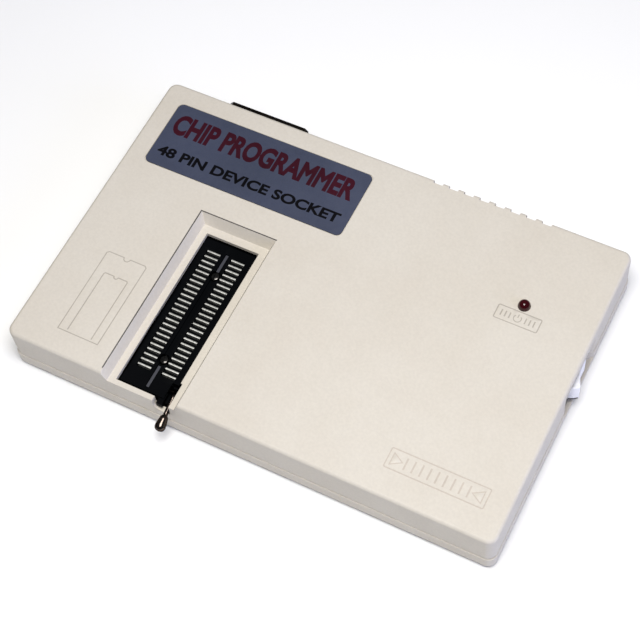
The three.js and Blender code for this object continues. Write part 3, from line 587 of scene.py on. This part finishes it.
def case_top():
    """The top shell with its engraved lines and the strips of painted shade that lie in them."""
    cutters, dust_and_shade, badge_fill_shade, rim_fill_shade = bmesh.new(), bmesh.new(), bmesh.new(), bmesh.new()
    for drawing, fill in (
        (device_outlines, dust_and_shade), (lamp_panel, dust_and_shade), (badge, badge_fill_shade), (well_line, rim_fill_shade),
    ):
        drawing(engrave, cutters)
        drawing(lay_shade, fill)
    shell = copied("top_shell")
    sharp = math.radians(SHARP_EDGE)
    edges = [e for e in shell.edges if e.is_manifold and e.calc_face_angle(0) > sharp]
    bmesh.ops.bevel(shell, geom=edges, offset=TOP_BEVEL, segments=2, profile=0.5, affect="EDGES",
                    clamp_overlap=False)
    bm = carve(shell, cutters)
    # Painted shade: grey strips in the grooves stand in for the shade inside them.
    make("line_shade", dust_and_shade, LINE_SHADE, normals=False)
    # Painted shade in the badge's grooves, paler than the other lines.
    make("badge_shade", badge_fill_shade, BADGE_SHADE, normals=False)
    # Painted shade: the dark strip along the well's rim.
    make("well_line_shade", rim_fill_shade, RIM_SHADE, normals=False)
    make("case_top", bm, BEIGE, stands_for=["top_shell"])


def case_base():
    make("case_base", copied("base_shell"), BEIGE, stands_for=["base_shell"], bevel=0.25)


# ---- name label -------------------------------------------------------------------------------------

LETTER_HEIGHT = 0.05
LETTER_SUNK = 0.02
LABEL_CORNER = 2.5
LABEL_MARGIN = 3.0


def lettering(name, text, material, left, right, bottom, height, face, weight):
    """A line of plain capitals fitted between left and right, as solid letters; weight makes them bolder."""
    curve = bpy.data.curves.new(name, "FONT")
    curve.body = text
    curve.size = 1.0
    curve.extrude = 0.02
    curve.bevel_depth = weight
    curve.bevel_resolution = 0
    curve.resolution_u = 4
    words = bpy.data.objects.new(name, curve)
    bpy.context.scene.collection.objects.link(words)
    bpy.context.view_layer.update()
    bm = bmesh.new()
    evaluated = words.evaluated_get(bpy.context.evaluated_depsgraph_get())
    bm.from_mesh(evaluated.to_mesh())
    evaluated.to_mesh_clear()
    bpy.data.objects.remove(words)
    bmesh.ops.remove_doubles(bm, verts=bm.verts, dist=1e-4)
    starts = (left, bottom, face - LETTER_SUNK)
    sizes = (right - left, height, LETTER_HEIGHT)
    for axis, (start, size) in enumerate(zip(starts, sizes)):
        places = [v.co[axis] for v in bm.verts]
        least, most = min(places), max(places)
        for v in bm.verts:
            v.co[axis] = start + (v.co[axis] - least) / (most - least) * size
    make(name, bm, material, normals=False, smooth=25)


def name_plate():
    """The label's film and two lines of plain words on it."""
    low, high = span("name_label")
    bm = bmesh.new()
    prism(bm, rounded(low.x, high.x, low.y, high.y, LABEL_CORNER, 10), low.z, high.z)
    make("name_plate", bm, FILM, stands_for=["name_label"], bevel=0.1, segments=3)
    left, right = low.x + LABEL_MARGIN, high.x - LABEL_MARGIN - 0.8
    lettering("label_large_words", "CHIP PROGRAMMER", MAROON_INK,
              left, right, low.y + 17.1, 10.9, high.z, 0.045)
    lettering("label_small_words", "48 PIN DEVICE SOCKET", INK_AND_SHADOW_BLACK,
              left, right, low.y + 5.1, 5.1, high.z, 0.036)


# ---- socket -----------------------------------------------------------------------------------------

WAYS = 24
PITCH = 2.54
ROW = 5.715
SHELF = socket_high.z - 2.2
FIRST_WAY = 1.2
CONTACT_THICK = 0.9
LEAF = 0.2
SLOT_HALF = 3.25
SLOT_CLEAR = 0.12
SLIDE = joint("cover_slide")["range_m"][1] / MM
GROOVE_HALF = 0.8
COVER_GROOVE = 0.7
APRON = 0.8
SCREW_HALF = 1.5
POCKET = 2.3
POCKET_DEPTH = 1.6
CAM_LEFT = span("socket_slide_plate")[0].x + 13.15
CAM_WIDTH = 2.8
CAM_RADIUS = 1.3
CAM_LOBE = 0.45
CAM_PHASE = math.radians(142.5)
CAM_CLEAR = 0.15
HINGE_FROM_FRONT = 4.9


def socket_body():
    """The socket's base, with its shelf carried a little further out under the well's floor."""
    low, high = socket_low, socket_high
    bm = copied("socket_base")
    block(bm, low.x - 1.1, low.x + 0.2, FRONT + 10, high.y + 1.1, SHELF - 1.9, SHELF - 0.1)
    block(bm, low.x + 0.1, high.x - 0.1, high.y - 0.1, high.y + 1.1, SHELF - 2.0, SHELF - 0.2)
    make("socket_body", bm, SOCKET_BLACK, stands_for=["socket_base"], bevel=0.12)


def lattice(bm, xs, ys, zs, filled):
    """All-quad solid from a grid: filled(x, y, z) says whether the cell with that middle is solid."""
    steps = [range(len(axis) - 1) for axis in (xs, ys, zs)]
    middles = [[(axis[i] + axis[i + 1]) / 2 for i in range(len(axis) - 1)] for axis in (xs, ys, zs)]
    solid = {
        (i, j, k) for i in steps[0] for j in steps[1] for k in steps[2]
        if filled(middles[0][i], middles[1][j], middles[2][k])
    }
    corners = {}

    def vert(i, j, k):
        if (i, j, k) not in corners:
            corners[i, j, k] = bm.verts.new((xs[i], ys[j], zs[k]))
        return corners[i, j, k]

    sides = (
        ((1, 0, 0), ((1, 0, 0), (1, 1, 0), (1, 1, 1), (1, 0, 1))),
        ((-1, 0, 0), ((0, 0, 0), (0, 0, 1), (0, 1, 1), (0, 1, 0))),
        ((0, 1, 0), ((0, 1, 0), (0, 1, 1), (1, 1, 1), (1, 1, 0))),
        ((0, -1, 0), ((0, 0, 0), (1, 0, 0), (1, 0, 1), (0, 0, 1))),
        ((0, 0, 1), ((0, 0, 1), (1, 0, 1), (1, 1, 1), (0, 1, 1))),
        ((0, 0, -1), ((0, 0, 0), (0, 1, 0), (1, 1, 0), (1, 0, 0))),
    )
    for i, j, k in sorted(solid):
        for (di, dj, dk), quad in sides:
            if (i + di, j + dj, k + dk) not in solid:
                bm.faces.new([vert(i + a, j + b, k + c) for a, b, c in quad])


def grid(*values):
    """Sorted, distinct grid lines."""
    lines = sorted(values)
    return [v for i, v in enumerate(lines) if not i or v - lines[i - 1] > 1e-4]


def way_places(contacts):
    """The middle of each way along a row of contacts, from the rear."""
    return [span(contacts)[1].y - FIRST_WAY - PITCH * way for way in range(WAYS)]


def socket_cover():
    """The sliding cover: two rows of slots, a groove, two screw pockets and a tongue to the cam."""
    low, high = span("socket_slide_plate")
    middle, top = (low.x + high.x) / 2, high.z
    front_edge, apron_right = low.y + 7.5, high.x - 2.95
    groove_front, groove_rear = low.y + 1.7, high.y - 3.8
    cam_right = CAM_LEFT + CAM_WIDTH
    cam_middle = low.y + HINGE_FROM_FRONT + CAM_LOBE * math.cos(CAM_PHASE)
    tongue_front = cam_middle + CAM_RADIUS + CAM_CLEAR
    screws = []
    for index in (1, 2):
        screw_low, screw_high = span(f"socket_cover_screw_{index}")
        screws.append((screw_low.y + screw_high.y) / 2)
    half = CONTACT_THICK / 2 + SLOT_CLEAR
    slots = [(y - half - SLIDE, y + half) for y in way_places("socket_contacts_left")]
    rows = (middle - ROW, middle + ROW)
    xs = grid(low.x, high.x, apron_right, CAM_LEFT, cam_right,
              *(middle + side * half_width for side in (-1, 1) for half_width in (GROOVE_HALF, SCREW_HALF)),
              *(row + side * SLOT_HALF for row in rows for side in (-1, 1)))
    ys = grid(low.y, high.y, front_edge, tongue_front, groove_rear, groove_front,
              *(edge for slot in slots for edge in slot),
              *(edge for y in screws for edge in (y - SLIDE - SCREW_HALF, y + SCREW_HALF)))
    zs = grid(low.z, top - 1.0, top - COVER_GROOVE, top - APRON, top)

    def filled(x, y, z):
        if any(abs(x - row) < SLOT_HALF for row in rows) and any(a < y < b for a, b in slots):
            return False
        if abs(x - middle) < SCREW_HALF and any(s - SLIDE - SCREW_HALF < y < s + SCREW_HALF for s in screws):
            return False
        if abs(x - middle) < GROOVE_HALF and groove_front < y < groove_rear and z > top - COVER_GROOVE:
            return False
        if y > front_edge:
            return True
        if z > top - APRON:
            return x < apron_right
        return CAM_LEFT < x < cam_right and y > tongue_front and z < top - 1.0

    bm = bmesh.new()
    lattice(bm, xs, ys, zs, filled)
    pockets = bmesh.new()
    for y in screws:
        outline = rounded(middle - POCKET, middle + POCKET, y - SLIDE - POCKET, y + POCKET, POCKET, 8)
        prism(pockets, outline, top - POCKET_DEPTH, top + 1)
    bm = carve(bm, pockets)
    bmesh.ops.remove_doubles(bm, verts=bm.verts, dist=0.001)
    make("socket_cover", bm, SOCKET_BLACK, body="cover_plate",
         stands_for=["socket_slide_plate"], bevel=0.1, normals=False)


def cover_details():
    """The polished, lighter grey floor at both ends of the groove, and a fine lighter bead along the left
    edge that is a painted highlight.
    """
    low, high = span("socket_slide_plate")
    middle = (low.x + high.x) / 2
    bm = bmesh.new()
    for y0, y1 in ((high.y - 12.8, high.y - 4.0), (low.y + 1.9, low.y + 12.1)):
        block(bm, middle - 0.6, middle + 0.6, y0, y1, high.z - COVER_GROOVE + 0.01, high.z - 0.6)
    # Painted highlight: a lighter grey bead stands in for the light caught along the cover's left edge.
    block(bm, low.x + 0.15, low.x + 0.4, low.y + 5.1, low.y + 50.1, high.z - 0.05, high.z)
    make("cover_details", bm, GROOVE_GREY, body="cover_plate", bevel=0.02)


def contact_row(name, node):
    """Twenty-four folded spring leaves, each with a flat rolled top and a solder tail."""
    low, high = span(node)
    middle = (low.x + high.x) / 2
    outer, waist, foot, shoulder = CONTACT_THICK / 2, CONTACT_THICK * 0.36, low.z + 0.4, low.z + 3.2
    right = [(outer, foot), (waist, shoulder)] + arc(LEAF, 0, 90, 3, outer - LEAF, high.z - LEAF)
    fold = [(outer - LEAF, foot), (waist - LEAF, shoulder), (outer - LEAF, high.z - LEAF)]
    left = [(-across, z) for across, z in reversed(right)]
    outline = fold[::-1] + right + left + [(-across, z) for across, z in fold]
    bm = bmesh.new()
    for y in way_places(node):
        lying = Matrix(((0, 0, 1, 0), (1, 0, 0, y), (0, 1, 0, 0), (0, 0, 0, 1)))
        prism(bm, outline, low.x, high.x, lying)
        block(bm, middle - 0.3, middle + 0.3, y - 0.12, y + 0.12, low.z, low.z + 0.5)
    make(name, bm, TIN, stands_for=[node], normals=False, smooth=40)


def slotted_head(bm, place, radius, top, bottom, slot):
    """A low domed screw head with a straight slot."""
    rise, depth = 0.6, 0.45
    head = bmesh.new()
    profile = [(0, bottom), (radius * 0.96, bottom), (radius, bottom + 0.1)]
    for k in range(6):
        a = math.radians(15 * k)
        profile.append((radius * math.cos(a), top - rise + rise * math.sin(a)))
    profile.append((0, top))
    lathe(head, profile, place, 36)
    cutter = bmesh.new()
    block(cutter, -slot / 2, slot / 2, -radius - 1, radius + 1, top - depth, top + 1, place)
    absorb(bm, carve(head, cutter))


def cross_head(bm, place, radius, top, bottom, arm):
    """A domed screw head with a cross recess."""
    rim, half, depth, steps = 0.7, 0.28, 1.0, 6
    head = bmesh.new()
    profile = [(0, bottom), (radius * 0.9, bottom), (radius, bottom + 0.2), (radius, bottom + rim)]
    for k in range(1, steps):
        a = math.radians(90 * k / steps)
        profile.append((radius * math.cos(a), bottom + rim + (top - bottom - rim) * math.sin(a)))
    profile.append((0, top))
    lathe(head, profile, place, 36)
    cutter = bmesh.new()
    for angle in (0, 90):
        spin = place @ Matrix.Rotation(math.radians(angle), 4, "Z")
        slot = [(-arm, -half), (-half, -half), (half, -half), (arm, -half), (arm, half), (-arm, half)]
        prism(cutter, slot, top - depth, top + 1, spin)
    absorb(bm, carve(head, cutter))


def screw(name, bm, material, node):
    """Finishes a screw in the place of its CAD node."""
    make(name, bm, material, stands_for=[node], normals=False)


def cover_screw(index):
    """A slotted screw that holds the sliding cover down."""
    node = f"socket_cover_screw_{index}"
    low, high = span(node)
    bm = bmesh.new()
    slotted_head(bm, upright(low, high), 2.0, high.z, high.z - 0.9, 0.6)
    thread(bm, upright(low, high), 1.1, 0.18, 0.5, low.z, high.z - 0.8)
    screw(f"cover_screw_{index}", bm, DARK_SCREW, node)


ROD_RADIUS = 0.93
BULB_SWELL = 1.5
BULB_STEPS = 22
BULB_LENGTH = 7.0
NECK_TO_TIP = 7.1


def lever_rod():
    """The bent steel rod with its cam and its drop-shaped grip."""
    left_end = span("socket_lever")[0].x
    x, y, z = pivot_of("lever_hinge")
    shoulder = Vector((x, y - 2.0, z + 1.8))
    tip = Vector((x, y - 16.5, z - 3.5))
    grip = (tip - shoulder).normalized()
    neck = tip - grip * NECK_TO_TIP
    bend_in = Vector((x - 1.2, y, z))
    knee = Vector((x + 0.4, y - 0.1, z + 0.2))
    points = [Vector((left_end + 0.02, y, z)).lerp(bend_in, k / 6) for k in range(6)]
    for k in range(13):
        t = k / 12
        points.append(bend_in * (1 - t) ** 2 + knee * 2 * t * (1 - t) + shoulder * t ** 2)
    points += [shoulder.lerp(neck, k / 5) for k in range(1, 6)]
    radii = [ROD_RADIUS] * len(points)
    for k in range(1, BULB_STEPS + 1):
        t = k / BULB_STEPS
        points.append(neck + grip * BULB_LENGTH * t)
        rise = min(t / 0.15, 1.0) ** 0.6
        swell = 0.36 + 0.64 * min(t / 0.75, 1.0)
        end = math.sqrt(max(1 - t ** 7, 0.0))
        radii.append(max((ROD_RADIUS + BULB_SWELL * rise * swell) * end, 0.05))
    bm = bmesh.new()
    sweep(bm, points, radii, 24)
    chamfer = 0.12
    cam = [(CAM_RADIUS - chamfer, 0), (CAM_RADIUS, chamfer),
           (CAM_RADIUS, CAM_WIDTH - chamfer), (CAM_RADIUS - chamfer, CAM_WIDTH)]
    place = along_x(CAM_LEFT, y + CAM_LOBE * math.cos(CAM_PHASE), z + CAM_LOBE * math.sin(CAM_PHASE))
    lathe(bm, cam, place, 32)
    make("lever_rod", bm, LEVER_STEEL, body="lever", stands_for=["socket_lever"],
         normals=False, smooth=50)


# ---- lamp and power switch ----------------------------------------------------------------------------

LAMP_RADIUS = 2.5
LAMP_COLLAR = 2.83
LAMP_FOOT = 18.0
LEG_PLACE = 1.27
LEG_HALF = 0.25


def lamp():
    """The power lamp: a domed lens with a collar, and its two legs."""
    low, high = span("power_led")
    place = upright(low, high)
    straight, ledge, steps = high.z - LAMP_RADIUS, LAMP_FOOT + 1, 12
    profile = [(0, LAMP_FOOT), (LAMP_COLLAR, LAMP_FOOT), (LAMP_COLLAR, ledge - 0.1)]
    profile += [(LAMP_COLLAR - 0.08, ledge), (LAMP_RADIUS, ledge), (LAMP_RADIUS, straight)]
    for k in range(1, steps):
        a = math.radians(90 * k / steps)
        profile.append((LAMP_RADIUS * math.cos(a), straight + LAMP_RADIUS * math.sin(a)))
    profile.append((0, high.z))
    bm = bmesh.new()
    lathe(bm, profile, place, 48)
    make("lamp_lens", bm, LENS, stands_for=["power_led"], normals=False, smooth=50)
    legs = bmesh.new()
    for x in (-LEG_PLACE, LEG_PLACE):
        block(legs, x - LEG_HALF, x + LEG_HALF, -LEG_HALF, LEG_HALF, BOARD_TOP + 0.3, LAMP_FOOT - 0.02, place)
    make("lamp_legs", legs, TIN, bevel=0.06)


ROCKER_REST = 12
ROCKER_REACH = 8.0
ROCKER_VALLEY = 3.4
ROCKER_HALF = 4.8
LIP_INNER, LIP_OUTER = 55, 102


def rocker_piece():
    """The white rocker: a shallow valley, round ends, a printed upright mark and, along its lower end, a
    black line that is a painted shadow.
    """
    rest = Matrix.Rotation(math.radians(ROCKER_REST), 4, "Z")
    place = Matrix.Translation(pivot_of("rocker_hinge")) @ rest
    crest = ROCKER_REACH * math.cos(math.radians(LIP_INNER)) - ROCKER_VALLEY
    side = ROCKER_REACH * math.sin(math.radians(LIP_INNER))
    outline = arc(ROCKER_REACH, -LIP_OUTER, -LIP_INNER, 8)
    for k in range(1, 12):
        y = -side + 2 * side * k / 12
        outline.append((ROCKER_VALLEY + crest * abs(y / side) ** 1.35, y))
    outline += arc(ROCKER_REACH, LIP_INNER, LIP_OUTER, 8)
    outline += [(-3, 4), (-3, -4)]
    bm = bmesh.new()
    prism(bm, outline, -ROCKER_HALF, ROCKER_HALF, place)
    make("rocker_cap", bm, ROCKER_WHITE, body="rocker", bevel=0.35, segments=3,
         stands_for=["power_switch_rocker"], smooth=40)
    ink_and_shadow = bmesh.new()
    out = Matrix.Translation((ROCKER_VALLEY + crest * 0.58, -side * 0.68, 0))
    lean = Matrix.Rotation(math.atan2(crest, side) * 1.12, 4, "Z")
    block(ink_and_shadow, -0.02, 0.06, -0.35, 0.35, -2.4, 2.4, place @ out @ lean)
    # Painted shadow: a thin black strip along the rocker's lower end stands in for the dark gap beneath it.
    dash = arc(ROCKER_REACH + 0.05, -86, -58, 7) + arc(ROCKER_REACH - 0.1, -58, -86, 7)
    prism(ink_and_shadow, dash, -4.6, -3.7, place)
    make("rocker_mark_and_shadow", ink_and_shadow, INK_AND_SHADOW_BLACK, body="rocker", bevel=0.02, segments=1)


def switch_frame():
    make("switch_frame", copied("power_switch_housing"), NYLON,
         stands_for=["power_switch_housing"], bevel=0.35, segments=3)


# ---- feet and case screws -------------------------------------------------------------------------------

def foot(index):
    """A rubber foot with a shallow hollow underneath."""
    node = f"rubber_foot_{index}"
    low, high = span(node)
    radius, hollow = (high.x - low.x) / 2, 0.12
    profile = [(0, hollow), (radius * 0.45, hollow), (radius * 0.5, 0.0), (radius * 0.86, 0.0)]
    profile += [(radius * 0.94, 0.12), (radius * 0.985, 0.4), (radius, 0.8)]
    profile += [(radius, high.z - 0.1), (radius - 0.1, high.z), (0, high.z)]
    bm = bmesh.new()
    lathe(bm, profile, upright(low, high), 48)
    make(f"foot_{index}", bm, RUBBER, stands_for=[node], normals=False, smooth=30)


def case_fastener(index):
    """A long screw that comes up from below and closes the case."""
    node = f"case_screw_{index}"
    low, high = span(node)
    bm = bmesh.new()
    cross_head(bm, hanging(low, high), 2.7, -low.z, -low.z - 2.2, 1.6)
    thread(bm, hanging(low, high), 1.3, 0.28, 1.0, -high.z, -low.z - 2.1)
    screw(f"case_fastener_{index}", bm, SCREW_STEEL, node)


def board_fastener(index):
    """A short screw that holds the board on its post."""
    node = f"board_screw_{index}"
    low, high = span(node)
    bm = bmesh.new()
    cross_head(bm, upright(low, high), 2.6, high.z, high.z - 1.6, 1.5)
    thread(bm, upright(low, high), 1.0, 0.2, 0.8, low.z, high.z - 1.5)
    screw(f"board_fastener_{index}", bm, SCREW_STEEL, node)


case_top()
case_base()
name_plate()
socket_body()
socket_cover()
cover_details()
contact_row("contacts_left", "socket_contacts_left")
contact_row("contacts_right", "socket_contacts_right")
for number in (1, 2):
    cover_screw(number)
lever_rod()
lamp()
rocker_piece()
switch_frame()
for number in (1, 2, 3, 4):
    foot(number)
    case_fastener(number)
    board_fastener(number)

# Every CAD node gets the material of its slot, those that a piece replaces as well.
SLOTS = {
    "board_laminate": BOARD, "screw_steel": SCREW_STEEL, "connector_steel": SHELL_STEEL,
    "black_nylon": NYLON, "brass": BRASS, "aluminium": ALUMINIUM, "capacitor_sleeve": SLEEVE,
    "resistor_coating": RESISTOR, "crystal_can": SCREW_STEEL, "chip_epoxy": EPOXY,
    "beige_abs": BEIGE, "label_film": FILM, "foot_rubber": RUBBER, "socket_black": SOCKET_BLACK,
    "lever_steel": LEVER_STEEL, "contact_plating": TIN, "rocker_white": ROCKER_WHITE,
    "red_lens": LENS,
}
CARRIED_BEVEL = 0.15
for entry in frame["record"]["subparts"]:
    node = frame["nodes"][entry["node"]]
    node.data.materials.clear()
    node.data.materials.append(SLOTS[entry["material_slot"]])
    if not node.hide_render:
        soften(node, CARRIED_BEVEL)


# ---- floor, light and camera ------------------------------------------------------------------------------
# Places are in metres of the frame.

ORIGIN = (0.0, 0.0, 0.0)
WHITE = (1.0, 1.0, 1.0)
FLOOR_SIZE = 3.0
KEY_PLACE = (0.10, -0.13, 0.68)
KEY_SIZE = 0.34
KEY_POWER = 5.9
KEY_COLOUR = (1.0, 0.98, 0.95)
SIDE_PLACE = (1.4, -0.2, 0.32)
SIDE_POWER = 1.5
SIDE_COLOUR = (0.45, 0.53, 1.0)
SIDE_SPREAD = math.radians(40)
WASH_PLACE = (0.0, 0.0, 1.0)
WASH_POWER = 0.75
WASH_SPREAD = math.radians(90)
SKY_LOW = (0.1, (0.04, 0.043, 0.054))
SKY_HIGH = (0.75, (0.138, 0.145, 0.156))
EYE_FROM_CASE = Vector((0.18123, -0.27201, 0.57912))
EYE_FORWARD = Vector((-0.27497, 0.40959, -0.86984))
EYE_UP = Vector((-0.36537, 0.79233, 0.48859))
LENS_LENGTH = 89.15
SENSOR = 36.0


def floor():
    """A plain sheet under the case, as a stage piece."""
    bm = bmesh.new()
    bmesh.ops.create_grid(bm, x_segments=8, y_segments=8, size=FLOOR_SIZE)
    mesh = bpy.data.meshes.new("floor")
    bm.to_mesh(mesh)
    bm.free()
    mesh.materials.append(FLOOR)
    sheet = bpy.data.objects.new("floor", mesh)
    bpy.context.scene.collection.objects.link(sheet)
    return sheet


def light(name, kind, place, power, colour):
    """A light of its own colour and power, aimed at the middle of the frame."""
    data = bpy.data.lights.new(name, kind)
    data.energy = power
    data.color = colour
    obj = bpy.data.objects.new(name, data)
    obj.location = place
    obj.rotation_euler = (Vector(ORIGIN) - Vector(place)).to_track_quat("-Z", "Y").to_euler()
    bpy.context.scene.collection.objects.link(obj)
    return obj


def sky():
    """A dim surround that brightens overhead, like a softbox over a table."""
    world = bpy.data.worlds.new("studio")
    bpy.context.scene.world = world
    world.use_nodes = True
    nodes, links = world.node_tree.nodes, world.node_tree.links
    direction = nodes.new("ShaderNodeTexCoord").outputs["Generated"]
    split = nodes.new("ShaderNodeSeparateXYZ")
    ramp = nodes.new("ShaderNodeValToRGB")
    links.new(direction, split.inputs[0])
    links.new(split.outputs["Z"], ramp.inputs["Fac"])
    for element, (height, colour) in zip(ramp.color_ramp.elements, (SKY_LOW, SKY_HIGH)):
        element.position = height
        element.color = (*colour, 1)
    links.new(ramp.outputs["Color"], nodes["Background"].inputs["Color"])


def studio():
    """The floor, the sky, a small soft key, a cool side light and a wash that reaches only the floor."""
    sheet = floor()
    sky()
    key = light("key", "AREA", KEY_PLACE, KEY_POWER, KEY_COLOUR)
    key.data.size = KEY_SIZE
    side = light("side", "SUN", SIDE_PLACE, SIDE_POWER, SIDE_COLOUR)
    side.data.angle = SIDE_SPREAD
    side.visible_glossy = False
    wash = light("floor_wash", "SUN", WASH_PLACE, WASH_POWER, WHITE)
    wash.data.angle = WASH_SPREAD
    wash.data.use_shadow = False
    washed = bpy.data.collections.new("washed")
    washed.objects.link(sheet)
    wash.light_linking.receiver_collection = washed


def camera():
    """The viewing point, set from the middle of the case's underside."""
    forward = EYE_FORWARD.normalized()
    right = forward.cross(EYE_UP).normalized()
    up = right.cross(forward)
    data = bpy.data.cameras.new("camera")
    data.sensor_width = SENSOR
    data.lens = LENS_LENGTH
    data.clip_end = 20.0
    eye = bpy.data.objects.new("camera", data)
    turned = Matrix((right, up, -forward)).transposed().to_4x4()
    eye.matrix_world = Matrix.Translation(CASE + EYE_FROM_CASE) @ turned
    bpy.context.scene.collection.objects.link(eye)
    bpy.context.scene.camera = eye


studio()
camera()
bpy.context.scene.view_settings.view_transform = "Standard"
